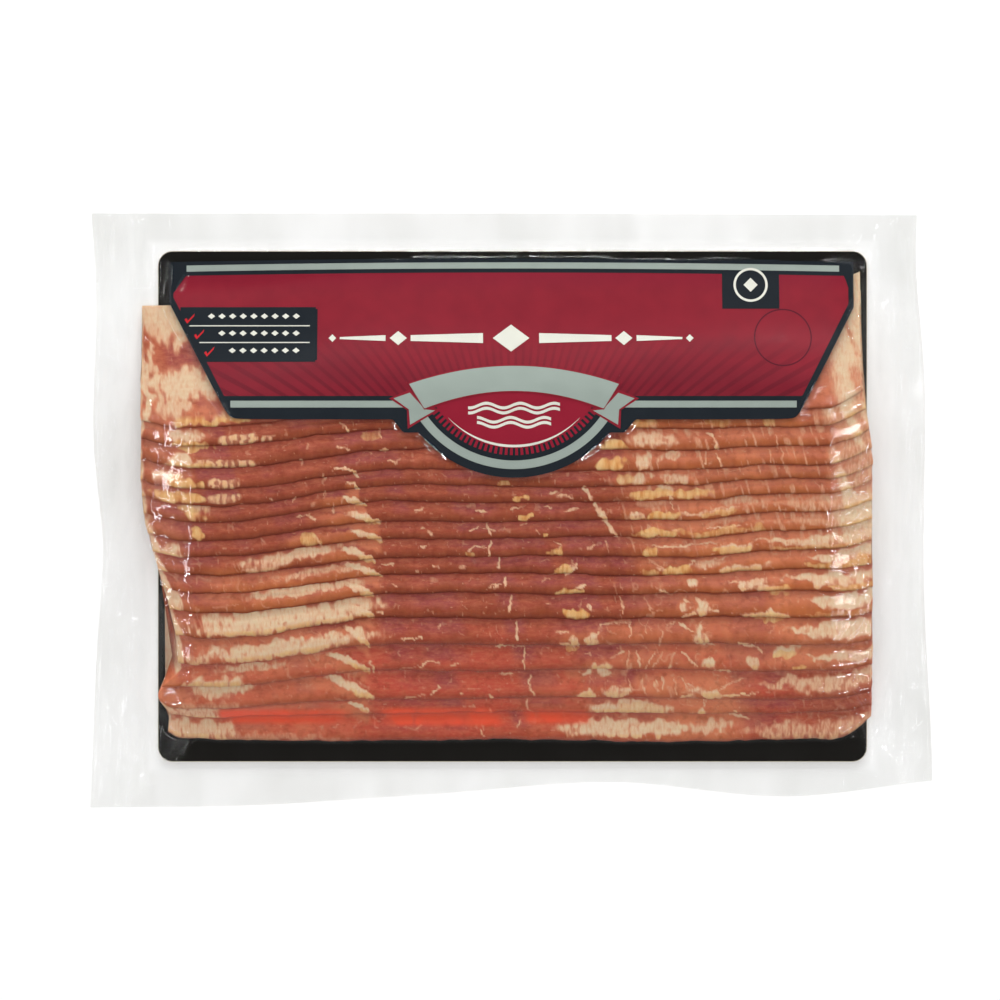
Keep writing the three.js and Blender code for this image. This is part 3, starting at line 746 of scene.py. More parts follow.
# Muscle ends with a white skin on top: x from, x to, y at the start, y at the tip, thickness
TIPS = [
    (-57, -48.6, 4.4, 1.6, 0.9), (-55, -44.2, -0.9, -4.2, 1.1), (-54, -43.4, -6.9, -10, 1.1),
    (-57, -46, -12.8, -17.2, 1.2), (-56, -43.4, -18.4, -22, 1.0), (-56, -46.4, -24.9, -28.6, 1.2),
    (-56, -46.2, -31.6, -36, 1.2), (-56, -47.4, -39.5, -46, 1.1), (-62, -47.8, -48.5, -54.4, 1.2),
    (-62, -46.8, -56.4, -63.6, 1.5), (-55, -47.4, -65.2, -68.0, 0.8), (-53.5, -51.2, 8.8, 7.2, 0.7),
]
# Rows of small beads of fat: x from, x to, y from, y to, strength
BEADS = [
    (-99.5, -85.5, 21.2, 25.6, 1), (-84.8, -80.8, 22.2, 25.4, 0.8), (-110, -85.5, 13.2, 17.4, 1),
    (-103, -91.5, 6.8, 10.8, 0.95), (-103, -91, 2, 5.4, 0.8),
]
# Broad tints of paler lean: x from, x to, y from, y to, strength
TINTS = [
    (38, 108, 2, 42, 0.8), (42, 112, -24, 8, 1), (42, 82, -80, -54, 1), (84, 124, -54, -20, 0.9),
    (-126, -104, 2, 62, 0.7), (-104, -50, -52, -20, 0.9), (-128, -50, -80, -52, 0.5),
    (102, 124, -22, 60, 0.9), (42, 86, -52, -22, 0.7), (-126, -106, -50, 2, 0.4),
    (0, 40, -80, -52, 0.3),
]
# Painted glow: bright stretches of the two lowest slices, where light shines through the thin lean: x
# from, x to, y from, y to
PAINTED_GLOW = [(-99, -54, -73.4, -66.4), (-47, -2, -74.2, -66), (2, 29, -73.4, -66.6)]


def strip_at(i, x):
    """Lower edge of slice i at x, and the height of the strip that shows above it."""
    edge = edge_line(i, x)
    above = edge_line(i - 1, x) if i > 0 else edge + TOP_STRIP
    return edge, np.maximum(above - edge, 1.0)


OPEN_RIGHT = 108  # a patch that reaches this far right tapers to the left and runs out at the end
STRIP_ENDS = (-0.03, 1.03)  # shares of the strip that a patch's centre may have
FIRST_STRIP_END = 7.4  # the first slice runs on under the card, so its patches may lie further up


def patches(rows, i, x, s, ragged, soft, power):
    """The strongest patch at each point of slice i's strip: rounded boxes with a ragged, soft edge.

    The power sets how square a patch is, and s is the share of the strip's height.
    """
    most = np.zeros(np.shape(x))
    for x0, x1, y0, y1, strength in rows:
        middle = 0.5 * (x0 + x1)
        edge, height = strip_at(i, middle)
        s0, s1 = (y0 - edge) / height, (y1 - edge) / height
        centre = 0.5 * (s0 + s1)
        if not STRIP_ENDS[0] <= centre <= (FIRST_STRIP_END if i == 0 else STRIP_ENDS[1]):
            continue
        u = (x - middle) / (0.5 * (x1 - x0))
        v = (s - centre) / (0.5 * (s1 - s0))
        if x1 > OPEN_RIGHT:
            u = np.minimum(u, 0)
            v = v / (0.4 + 0.6 * ease(0.9 + u))
        inside = 1.0 - np.abs(u) ** power - np.abs(v) ** power
        most = np.maximum(most, strength * ease((inside + ragged) / soft + 0.5))
    return most


def threads(rows, i, x, y):
    """Fine lines of fat: each eases from its strength at its axis to 0 beside it."""
    edge, height = strip_at(i, x)
    low, high = edge.min() - 1.0, (edge + height * (8 if i == 0 else 1)).max() + 1.0
    most = np.zeros(np.shape(x))
    for x0, y0, x1, y1, half, strength in rows:
        if max(y0, y1) < low or min(y0, y1) > high:
            continue
        dx, dy = x1 - x0, y1 - y0
        t = np.clip(((x - x0) * dx + (y - y0) * dy) / (dx * dx + dy * dy + 1e-6), 0, 1)
        off = np.hypot(x - x0 - t * dx, y - y0 - t * dy)
        taper = 1.0 - 0.5 * np.abs(2 * t - 1) ** 3
        most = np.maximum(most, strength * ease(1.3 - off / (half * taper + 0.2)))
    return most


def skins(rows, x, y):
    """White skin along the top of each muscle end, the gilded fringe under its tip, and the pale
    lean below it. The skin follows a falling line, thickest where a sine of the way along is."""
    white, fringe, body = (np.zeros(np.shape(x)) for _ in range(3))
    for x0, x1, y0, y1, thick in rows:
        t = (x - x0) / (x1 - x0)
        along = np.clip(t, 0, 1)
        line = y0 + (y1 - y0) * along**1.3
        half = thick * (0.35 + 0.65 * np.sin(np.pi * np.clip(0.12 + 0.88 * along, 0, 1)))
        ends = ease((t + 0.15) / 0.3) * ease((1.05 - t) / 0.12)
        white = np.maximum(white, ends * ease(1.5 - np.abs(y - line) / half))
        tip = ease((t - 0.35) / 0.3) * ease((1.08 - t) / 0.12)
        below = ease(1.4 - np.abs(y - (line - half)) / (0.8 * half))
        fringe = np.maximum(fringe, tip * below)
        inside = ease((line - y) / 0.8 + 0.5) * ease((y - line + 6) / 2)
        body = np.maximum(body, ease((t + 1.6) / 1.4) * ease((1.1 - t) / 0.3) * inside)
    return white, fringe, body


def tissue_masks(i, x, y):
    """Masks of slice i from 0 to 1, by name: each is the strongest of its patches, threads and
    seeded noise.

    s is the share of the strip's height, own gives each slice a stretch of the noise for itself,
    order runs on from slice to slice, and shift leans to the left going up.
    """
    edge, height = strip_at(i, x)
    s = (y - edge) / height
    own = 29.0 * i
    order = i + s
    shift = x + 0.27 * y
    wx = x + 2.6 * noise(x, y + own, 4.2, 21) + 0.8 * noise(x, y + own, 1.3, 22)
    ws = s + 0.14 * noise(x, own, 5, 23) + 0.1 * noise(x, y + own, 1.8, 24)
    teeth = noise(x + 0.15 * y, 0.3 * y + own, 0.8, 27)
    cloud = noise(x, y + own, 2.2, 28)
    ragged = 0.26 * teeth + 0.42 * cloud

    fat = patches(FAT, i, wx, ws, 1.4 * ragged, 1.4, 2.0)
    holes = ease((noise(x, 0.45 * y + own, 0.9, 29) - 0.35) / 0.3) * ease((0.8 - s) / 0.3)
    fat = fat * (1 - 0.5 * holes)
    gold = patches(GOLD, i, wx, ws, ragged, 1.1, 2.2)
    sx = x + 0.45 * noise(x, y + own, 0.9, 36) + 0.4 * noise(x, y + own, 2.3, 47)
    sy = y + 0.45 * noise(x, y + own + 9, 0.9, 37) + 0.3 * noise(x, y + own, 2.3, 48)
    white, fringe, body = skins(TIPS, sx, sy + 0.25 * noise(x, own, 2.0, 26))
    fat = np.maximum(fat, white)
    fat = np.maximum(fat, threads(VEINS, i, sx, sy) * (0.8 + 0.25 * cloud))
    gold = np.maximum(gold, fringe * (0.75 + 0.25 * teeth))

    # Beads of gilded fat along the upper left edges
    beads = patches(BEADS, i, x, 0.4 * s + 0.6 * ws, 0.7 * ragged, 1.0, 3.0)
    beat = x + 1.1 * noise(x, own, 2.6, 26) + 0.2 * noise(x, y + own, 1.2, 38)
    gaps = ease(0.5 + 0.5 * np.cos(2 * np.pi * beat / 2.6) + 0.8 * noise(x, y + own, 1.0, 58))
    beads = beads * (0.25 + 0.75 * gaps) * (0.85 + 0.15 * noise(x, own, 1.7, 39))
    fat = np.maximum(fat, 0.85 * beads)
    gold = np.maximum(gold, 0.6 * beads)

    # Thin veins that run on from slice to slice, and specks
    faint = ease(1.0 - np.abs(noise(sx + 0.27 * y, 5 * order, 5.2, 31)) / 0.07)
    faint = faint * ease((noise(x, 9 * order, 3, 32) - 0.2) / 0.3) * ease((s - 0.12) / 0.2)
    squiggle = ease(1.0 - np.abs(noise(sx, sy + own, 2.4, 33)) / 0.2)
    squiggle = squiggle * ease((noise(x, y + own, 2.2, 34) - 0.35) / 0.4)
    specks = ease((noise(x, y + own, 1.0, 35) - 0.72) / 0.25)
    fat = np.maximum(fat, 0.3 * faint)
    fat = np.maximum(fat, 0.26 * squiggle * ease((s - 0.2) / 0.2))
    fat = np.maximum(fat, 0.3 * specks)

    # Upper right: thin upright streaks of fat
    streaky = plateau(x, 34, 112, 16) * plateau(y, -14, 34, 8)
    streak = ease((noise(shift, 0.22 * y + own, 1.1, 41) - 0.32) / 0.4)
    fat = np.maximum(fat, 0.36 * streaky * streak)
    # The whole left and right ends: pale fat and lean in slanting folds
    end = ease((x - 104 - 4 * noise(y, own, 6, 43) - 0.12 * np.maximum(0, -y)) / 9)
    end = end * ease((y + 16) / 14)
    lean_in = ease((noise(0.9 * x + 0.35 * y, 0.22 * y - 0.1 * x, 3.4, 44) + 0.05) / 0.5)
    fat = np.maximum(fat, end * (1 - 0.6 * lean_in))
    rim = ease((left_end(y) + 1.3 + 1.0 * noise(y, 3, 5, 46) - x) / 1.4) * ease((y + 75) / 12)
    fat = np.maximum(fat, 0.8 * rim)

    # Marbling of the lower right and the left
    marbled = plateau(x, 30, 76, 10) * plateau(y, -76, -24, 10)
    marbled = np.maximum(marbled, 0.8 * plateau(x, -112, -50, 10) * plateau(y, -66, -14, 8))
    marbled = np.maximum(marbled, 0.6 * plateau(x, 80, 122, 10) * plateau(y, -80, -20, 8))
    web = ease(1.0 - np.abs(noise(shift, 1.1 * y + own, 3.0, 45)) / 0.24)
    fat = np.maximum(fat, 0.3 * marbled * web * ease((noise(x, y + own, 3.2, 49) + 0.1) / 0.5))

    # Smoked lower part of each strip
    width = 0.42 + 0.12 * noise(x, own, 6, 51) + 0.05 * noise(x, own, 1.2, 52)
    width = width - 0.16 * ease((-34 - y) / 14)
    smoke = ease((width - s) / 0.55 + 0.5) * (1 - 0.45 * ease((-36 - y) / 14))
    if i == 0:
        smoke = ease((0.25 - s) / 0.3)
    slanted = wx + (9 * s + 7 * noise(x, order * 3, 9, 60)) * (x < -20)
    salmon = patches(SALMON, i, slanted, ws, 0.6 * ragged, 2.2, 2.0)
    salmon = np.maximum(salmon, 0.75 * body)
    wider = [(x0 - 4, x1 + 4, y0 - 1.6, y1 + 1.6, 0.7 * k) for x0, x1, y0, y1, k in FAT]
    salmon = np.maximum(salmon, patches(wider, i, wx, ws, 0.6 * ragged, 2.0, 2.0))
    tint = np.full(np.shape(x), 0.12)
    for x0, x1, y0, y1, strength in TINTS:
        tint = np.maximum(tint, strength * plateau(slanted, x0, x1, 20) * plateau(y, y0, y1, 8))
    streaked = 0.5 + 0.35 * noise(shift, 0.5 * y + own, 2.6, 55)
    streaked = streaked + 0.35 * noise(shift, 2.5 * order, 8, 53)
    salmon = np.maximum(salmon, tint * (0.55 + 0.6 * streaked))
    cool = ease((s - 0.2) / 0.4) * ease((noise(shift, 2.5 * order, 7, 54) + 0.25) / 0.8)
    cool = cool * plateau(x, -124, 104, 24)
    # Painted shade in the creases: darker along the top of each strip, under the edge of the slice above,
    # and along its lower edge; weaker over fat and towards the foot of the pile
    painted_crease_shade = np.maximum(0.6 * ease((s - 0.74) / 0.3) ** 1.5, 0.65 * ease((0.12 - s) / 0.12))
    if i == 0:
        painted_crease_shade = 0.6 * ease((0.09 - s) / 0.09)
    painted_crease_shade = painted_crease_shade * (1 - 0.45 * fat) * (1 - 0.5 * ease((-34 - y) / 20))
    # Painted glow where light shines through the thin lean of the two lowest slices
    painted_glow = np.zeros(np.shape(x))
    for x0, x1, y0, y1 in PAINTED_GLOW if i >= SLICES - 2 else ():
        across = ease((y - y0) / 2.4) * ease((y1 - y) / 2.4)
        across = across * (0.95 + 0.3 * noise(wx, 0.5 * y, 3.2, 59))
        painted_glow = np.maximum(painted_glow, plateau(wx, x0 + 2, x1 - 2, 8) * across)
    gold = np.maximum(gold, 0.85 * fat * ease((0.38 - s) / 0.26) * (i > 0))
    rosy = ease((-30 - y + 4 * noise(x, y, 14, 56)) / 26) * plateau(x, -112, 96, 30)
    rosy = rosy * (0.75 + 0.3 * noise(x, y, 9, 57))
    masks = {"fat": fat, "gold": gold, "smoke": smoke, "painted_glow": painted_glow, "salmon": salmon, "cool": cool,
             "rosy": rosy, "painted_crease_shade": painted_crease_shade}
    return {name: np.clip(value, 0, 1) for name, value in masks.items()}


END_ROUND = 1.2  # the ends of a slice are rounded over this distance
END_INSETS = np.array([0, 0.12, 0.4, 0.8])
UNDER_START = 0.35  # the underside begins this far inside the lower edge
LAP = 2.2  # the fine rows run on this far under the slice above


def build_slice(i, material, columns):
    """One slice: a closed section carried along x.

    The section runs from the foot along the underside to the lower edge, round a bevel, over
    the strip that shows, and back to the foot. Both ends are rounded off over a millimetre.
    """
    left, right = slice_ends(i)
    inner = np.linspace(left + END_ROUND, right - END_ROUND, columns)
    x = np.concatenate([left + END_INSETS, inner, right - END_INSETS[::-1]])
    inset = np.minimum(x - left, right - x)
    fullness = np.sqrt(np.clip(1 - (1 - np.clip(inset / END_ROUND, 0, 1)) ** 2, 0.03, 1))
    edge = edge_line(i, x)
    foot = foot_line(i, x)
    strip = (edge_line(i - 1, x) if i > 0 else edge + 40.0) - edge
    angles = np.linspace(0, np.pi / 2, 7)

    under = np.linspace(1, 0, 8)[None, :] ** 1.3
    y_under = edge[:, None] + UNDER_START + (foot - edge - UNDER_START)[:, None] * under
    y_bevel = edge[:, None] + BEVEL * (1 - np.cos(angles))[None, :]
    rows = 34 if i == 0 else 20
    shares = np.linspace(0.06, 1, rows)[None, :]
    y_face = edge[:, None] + BEVEL + (strip + LAP - BEVEL)[:, None] * shares
    y_face = np.minimum(y_face, foot[:, None] - 3)
    y_top = y_face[:, -1:] + (foot[:, None] - y_face[:, -1:]) * np.linspace(0.16, 1, 5)[None, :]
    y = np.concatenate([y_under, y_bevel, y_face, y_top], axis=1)
    grid_x = np.broadcast_to(x[:, None], y.shape)

    rise = np.concatenate([
        np.zeros(y_under.shape[1]), 0.15 + 0.85 * np.sin(angles), np.ones(rows), np.ones(5),
    ])[None, :]
    low = slice_underside(i, grid_x, y)
    thick = slice_thickness(i, grid_x, y) * fullness[:, None]
    z = low + thick * rise + 0.5 * (slice_thickness(i, grid_x, y) - thick)
    masks = tissue_masks(i, grid_x, y)
    relief = 0.16 * noise(grid_x, y + 17 * i, 4.5, 61)
    relief = relief + 0.08 * noise(grid_x, 0.5 * y + 17 * i, 1.3, 62)
    relief = relief + 0.12 * masks["fat"] - 0.05
    z = z + relief * (rise > 0.5) * fullness[:, None] * ease((foot[:, None] - y) / 6)
    z = z + squeeze(i, grid_x, y) * (rise == 1) * fullness[:, None]
    ragged = 0.35 * noise(y, 7 * i, 3.0, 63) + 0.15 * noise(y, 7 * i, 1.0, 64)
    outline = np.where(x[:, None] < 0, left_end(y) - left - ragged, right_end(y) - right + ragged)
    grid_x = grid_x + ease(1 - inset / 16)[:, None] * outline

    points = np.stack([grid_x, y, z], -1)
    stations, ring = y.shape
    poles = np.stack([points[0].mean(0), points[-1].mean(0)])
    points = np.concatenate([points.reshape(-1, 3), poles])
    for name, value in masks.items():
        masks[name] = np.concatenate([value.ravel(), value[0, :1], value[-1, :1]])
    build_piece(f"rasher_{i + 1:02d}", points, grid_quads(stations, ring, wrap=True),
                end_fans(stations, ring), material, [SLICE_NODES[i]], masks)


# Board

def rounded_rectangle(low_x, high_x, low_y, high_y, radius, steps=10):
    """Points round a rectangle with rounded corners, anticlockwise."""
    turns = [(high_x - radius, low_y + radius, -90), (high_x - radius, high_y - radius, 0),
             (low_x + radius, high_y - radius, 90), (low_x + radius, low_y + radius, 180)]
    points = []
    for cx, cy, start in turns:
        angle = np.radians(start + np.linspace(0, 90, steps))
        points.append(np.stack([cx + radius * np.cos(angle), cy + radius * np.sin(angle)], -1))
    return np.concatenate(points)


BOARD_CORNER = 5.0
# The board's edge from below: inset, share of the height, share of the pale cut edge
BOARD_PROFILE = [
    (12.0, 0.0, 0), (0.5, 0.0, 0), (0.06, 0.1, 1), (0.0, 0.3, 1), (0.0, 0.82, 1),
    (0.04, 0.96, 1), (0.16, 1.0, 1), (0.2, 1.0, 0), (12.0, 1.0, 0),
]


def build_board(look):
    """A profile carried round the outline: pale cut edge with small bevels, black faces."""
    low, high = BOARD_LOW, BOARD_HIGH
    rings, cut = [], []
    for inset, height, share in BOARD_PROFILE:
        ring = rounded_rectangle(low.x + inset, high.x - inset, low.y + inset, high.y - inset,
                                 max(BOARD_CORNER - inset, 0.8))
        z = np.full(len(ring), low.z + (high.z - low.z) * height)
        rings.append(np.column_stack([ring, z]))
        cut.append(np.full(len(ring), float(share)))
    count = len(rings[0])
    centre = [(low.x + high.x) / 2, (low.y + high.y) / 2]
    points = np.concatenate([*rings, [[*centre, low.z], [*centre, high.z]]])
    masks = {"cut": np.concatenate(cut + [[0.0, 0.0]])}
    build_piece("board", points, grid_quads(len(rings), count, wrap=True),
                end_fans(len(rings), count), board_material(look),
                ["backing_board"], masks, smooth=False)


# Card and its print

def smooth_max(a, b, soft):
    """The larger of two, rounded over the soft distance where they cross."""
    return 0.5 * (a + b + np.sqrt((a - b) ** 2 + soft**2)) - 0.25 * soft


def slant_line(x, inset=0.0):
    """Height of the card's slanted side at x, with the border's inset taken off."""
    worst = np.full(np.shape(x), -200.0)
    for edge_x, shoulder_y, foot_x in CARD_SIDES:
        grade = (shoulder_y - CARD_FOOT) / (edge_x - foot_x)
        moved = foot_x - np.sign(foot_x) * inset
        worst = np.maximum(worst, CARD_FOOT + (x - moved) * grade)
    return worst


def from_middle(x):
    """Distance along x from the medallion's middle."""
    return np.abs(x - MEDALLION_X)


def card_upper(x):
    """Upper edge: a shallow arc that falls by 1.2 at the card's right corner."""
    return CARD_TOP - 1.2 * (x / CARD_SIDES[1][0]) ** 2


def card_lower(x):
    """Lower edge: slanted sides rounded into the foot, a slant down beside each ribbon tail, and
    the medallion's arc."""
    line = smooth_max(slant_line(x), np.full(np.shape(x), CARD_FOOT), 2.4)
    out = from_middle(x)
    tails = 4.5 * np.clip((41.0 - out) / 3.6, 0, 1)
    arc = MEDALLION_Y - np.sqrt(np.maximum(0, MEDALLION_R**2 - out**2))
    return np.where(out < MEDALLION_R, np.minimum(line - tails, arc), line - tails)


def card_relief():
    """The smooth height that the card lies at: the pile widened and then averaged."""
    relief = Relief(1.0)
    relief.z = pile_top(relief.grid_x, relief.grid_y, False)
    relief.z = np.where(relief.z < BOARD_TOP, BOARD_TOP, relief.z)
    relief.widen(2, 5)
    relief.soften(2.6)
    relief.z = relief.z + 0.4
    return relief


def shell(upper, lower, rows, columns):
    """Closed faces round two facing grids of points."""
    count = rows * columns
    top = grid_quads(rows, columns)
    under = grid_quads(rows, columns, count)[:, ::-1]
    c, r = np.arange(columns - 1), np.arange(rows - 1)
    low = np.stack([c, count + c, count + c + 1, c + 1], -1)
    end = (rows - 1) * columns
    high = np.stack([end + c + 1, count + end + c + 1, count + end + c, end + c], -1)
    row, above = r * columns, (r + 1) * columns
    left = np.stack([above, count + above, count + row, row], -1)
    row, above = row + columns - 1, above + columns - 1
    right = np.stack([row, count + row, count + above, above], -1)
    points = np.concatenate([upper.reshape(-1, 3), lower.reshape(-1, 3)])
    return points, np.concatenate([top, under, low, high, left, right])


INK_DEPTH = 0.03


class Layer:
    """Printed fields of one colour, each a thin shell that follows the card at its own height."""

    def __init__(self, relief, lift):
        self.relief = relief
        self.lift = lift
        self.points, self.quads, self.count = [], [], 0

    def add(self, x, y):
        """A shell over a grid of places, turned the right way up."""
        z = self.relief.at(x, y) + CARD_SHEET + self.lift
        upper = np.stack([x, y, z], -1)
        lower = np.stack([x, y, z - INK_DEPTH], -1)
        points, quads = shell(upper, lower, *x.shape)
        area = np.cross(upper[0, 1] - upper[0, 0], upper[1, 0] - upper[0, 0])[2]
        if area < 0:
            quads = quads[:, ::-1]
        self.points.append(points)
        self.quads.append(quads + self.count)
        self.count += len(points)

    def band(self, x0, x1, lower, upper, step=0.8, rows=None):
        """A field between two curves over x."""
        x = np.linspace(x0, x1, max(3, int((x1 - x0) / step)))
        low = lower(x) if callable(lower) else np.full(len(x), float(lower))
        high = upper(x) if callable(upper) else np.full(len(x), float(upper))
        rows = rows or max(3, int(np.max(high - low) / 1.2) + 2)
        t = np.linspace(0, 1, rows)[:, None]
        self.add(np.broadcast_to(x, (rows, len(x))), low + (high - low) * t)

    def quad(self, a, b, c, d, steps=8):
        """A field with four corners, in order round it."""
        a, b, c, d = (np.array(p, float) for p in (a, b, c, d))
        u = np.linspace(0, 1, steps)[None, :, None]
        v = np.linspace(0, 1, steps)[:, None, None]
        p = a * (1 - u) * (1 - v) + b * u * (1 - v) + c * u * v + d * (1 - u) * v
        self.add(p[..., 0], p[..., 1])

    def arc(self, cx, cy, inner, outer, start, end, step=1.5):
        """A stretch of ring between two angles in degrees, with the radii as numbers or curves."""
        steps = max(4, int(abs(end - start) / step))
        t = np.linspace(0, 1, steps)
        angle = np.radians(start + (end - start) * t)[None, :]
        low = inner(t) if callable(inner) else np.full(steps, float(inner))
        high = outer(t) if callable(outer) else np.full(steps, float(outer))
        rows = max(3, int(np.max(high - low) / 1.5) + 2)
        radius = low + (high - low) * np.linspace(0, 1, rows)[:, None]
        self.add(cx + radius * np.cos(angle), cy + radius * np.sin(angle))

    def finish(self, name, material):
        """Makes one piece of all its fields."""
        build_piece(name, np.concatenate(self.points), np.concatenate(self.quads), None,
                    material, smooth=False)


def build_card(look, relief):
    """The card: a thin sheet that follows the pile, navy on its face."""
    x = np.linspace(CARD_SIDES[0][0], CARD_SIDES[1][0], 300)
    shares = np.concatenate([[0, 0.003], np.linspace(0.02, 0.98, 48), [0.997, 1]])[:, None]
    low = card_lower(x)
    y = low + (card_upper(x) - low) * shares
    grid_x = np.broadcast_to(x, y.shape)
    z = relief.at(grid_x, y)
    upper = np.stack([grid_x, y, z + CARD_SHEET], -1)
    lower = np.stack([grid_x, y, z], -1)
    points, quads = shell(upper, lower, *y.shape)
    build_piece("card", points, quads, None, print_material("navy ink", look.navy),
                ["label_card"], smooth=False)


# Height of each printed layer over the card, and some lines of the layout
GROUND_LIFT, FIELD_LIFT, STRIPE_LIFT, FINE_LIFT = 0.03, 0.06, 0.09, 0.12
TAIL_LINE_LIFT, TAIL_LIFT, RIBBON_LINE_LIFT, RIBBON_LIFT = 0.14, 0.2, 0.26, 0.32
BOW = 0.00009  # the long lines at the card's head fall by this much times x squared
RING_START, RING_END = 180 + 30.5, 360 - 30.5
GROUND_FOOT = 38.7


def build_print(look, relief):
    """Plain printed fields: crimson ground, silver stripes and ring, ribbon, panel and badge."""
    crimson = Layer(relief, GROUND_LIFT)

    def field_low(x):
        """Inside the card's slanted sides, and level at the foot."""
        return np.maximum(slant_line(x, 2.1), GROUND_FOOT)

    def field_high(x):
        """The bowed head line, cut off by a steep line at either side."""
        left = 80.8 + (x + 109.5) * 1.38
        right = 80.4 - (x - 112.8) * 3.0
        return np.minimum(np.minimum(left, right), 80.8 - BOW * x * x)

    crimson.band(-114.6, 114.4, field_low, field_high, step=0.5, rows=40)
    ink = print_material("crimson ink", look.crimson, RAY_SHADE, rays=True)
    crimson.finish("print_crimson", ink)

    medallion = Layer(relief, FIELD_LIFT)
    medallion.arc(MEDALLION_X, MEDALLION_Y, 12.0, 31.8, 180 + 24, 360 - 24)
    for k in range(38):
        angle = 180 + 33.5 + k * (113.0 / 37)
        medallion.arc(MEDALLION_X, MEDALLION_Y, 31.7, 34.2, angle - 0.8, angle + 0.8, step=0.4)
    medallion.finish("print_medallion", print_material("medallion ink", MEDALLION_INK))

    navy = Layer(relief, FIELD_LIFT)
    navy.band(-112.2, -66.2, lambda x: np.maximum(slant_line(x, 0.6), 50.3), 69.0)
    navy.band(-66.3, -65.6, 50.9, 68.4)
    navy.band(71.6, 91.0, 68.4, 85.2)
    navy.finish("print_navy", print_material("panel ink", look.navy))

    silver = Layer(relief, STRIPE_LIFT)
    silver.band(-110.2, 111.4, lambda x: 82.2 - BOW * x * x, lambda x: 84.3 - BOW * x * x)
    for x0, x1 in ((-94.8, -35.0), (35.0, 96.4)):
        silver.band(x0, x1, lambda x: np.maximum(34.8, slant_line(x, 1.6) - 3.4), 37.1, step=0.5)
    silver.arc(MEDALLION_X, MEDALLION_Y, 36.0, 38.9, RING_START, RING_END)
    silver.finish("print_silver", print_material("silver ink", look.silver, rough=0.3))

    build_ribbon(look, relief)

    white = Layer(relief, FINE_LIFT)
    white.band(-109.0, -68.2, 62.45, 62.8)
    white.band(-105.6, -68.2, 56.75, 57.1)
    white.arc(MEDALLION_X, MEDALLION_Y, lambda t: 30.9 - 0.2 * np.sin(np.pi * t),
              lambda t: 30.9 + 0.6 * np.sin(np.pi * t) + 0.05, 180 + 44, 360 - 44)
    draw_ornaments(white)
    white.finish("print_white", print_material("white ink", look.white))

    red = Layer(relief, FINE_LIFT)
    for x, y in ((-109.2, 64.6), (-105.9, 59.2), (-102.4, 53.3)):
        red.quad((x - 1.5, y + 0.1), (x - 0.9, y + 0.7), (x - 0.4, y - 0.2), (x - 0.6, y - 1.2))
        red.quad((x - 0.6, y - 1.2), (x - 0.4, y - 0.2), (x + 1.9, y + 2.2), (x + 1.7, y + 1.3))
    red.finish("print_red", print_material("red ink", RED_INK))

    stamp = Layer(relief, FIELD_LIFT)
    stamp.arc(92.0, 58.6, 9.35, 9.8, 0, 360, step=3)
    stamp.finish("print_stamp", print_material("dark red ink", STAMP_INK))


def build_ribbon(look, relief):
    """The arched ribbon and its folded tails, each in silver over a wider outline."""
    tail_line, tail = Layer(relief, TAIL_LINE_LIFT), Layer(relief, TAIL_LIFT)
    for side in (-1, 1):
        def at(x, y):
            """A place on this side of the medallion."""
            return (MEDALLION_X + side * x, y)
        tail_line.quad(at(42.2, 37.9), at(35.2, 40.9), at(29.2, 34.4), at(35.4, 33.5), 14)
        tail_line.quad(at(36.2, 34.9), at(29.4, 35.0), at(25.0, 34.2), at(35.9, 27.6), 14)
        tail.quad(at(40.7, 37.9), at(35.2, 39.8), at(30.0, 34.1), at(35.5, 34.15), 14)
        tail.quad(at(35.5, 34.2), at(30.0, 34.15), at(26.7, 33.8), at(35.1, 29.0), 14)
    tail_line.finish("print_tail_line", print_material("tail outline", look.crimson))
    tail.finish("print_tail", print_material("tail silver", look.silver, rough=0.3))
    layers = (
        ("print_ribbon_line", "ribbon outline", look.crimson, 0.38, RIBBON_LINE_LIFT, 36.4, 0.45),
        ("print_ribbon", "ribbon silver", look.silver, 0.3, RIBBON_LIFT, 35.4, 0),
    )
    for name, ink, colour, rough, lift, reach, grow in layers:
        layer = Layer(relief, lift)
        layer.band(MEDALLION_X - reach, MEDALLION_X + reach, ribbon_foot(-grow), ribbon_head(grow),
                   step=0.4)
        layer.finish(name, print_material(ink, colour, rough=rough))


def ribbon_foot(grow):
    """Lower curve of the ribbon: an arc that falls away from the middle, cut by a steep line
    past 30.2 mm, and moved up by grow."""
    def curve(x):
        out = from_middle(x)
        arc = 40.4 - 0.0065 * out**2 + grow
        slanted = 34.3 + (out - 30.2) * 1.62 + grow
        return np.where(out > 30.2, np.maximum(arc, slanted), arc)
    return curve


def ribbon_head(grow):
    """Upper curve of the ribbon: an arc that falls away from the middle, moved up by grow."""
    def curve(x):
        return 48.9 - 0.0049 * from_middle(x) ** 2 + grow
    return curve


def lozenge(layer, x, y, half_width, half_height):
    """A field with its four corners to the left, below, to the right and above."""
    layer.quad((x - half_width, y), (x, y - half_height),
               (x + half_width, y), (x, y + half_height), 4)


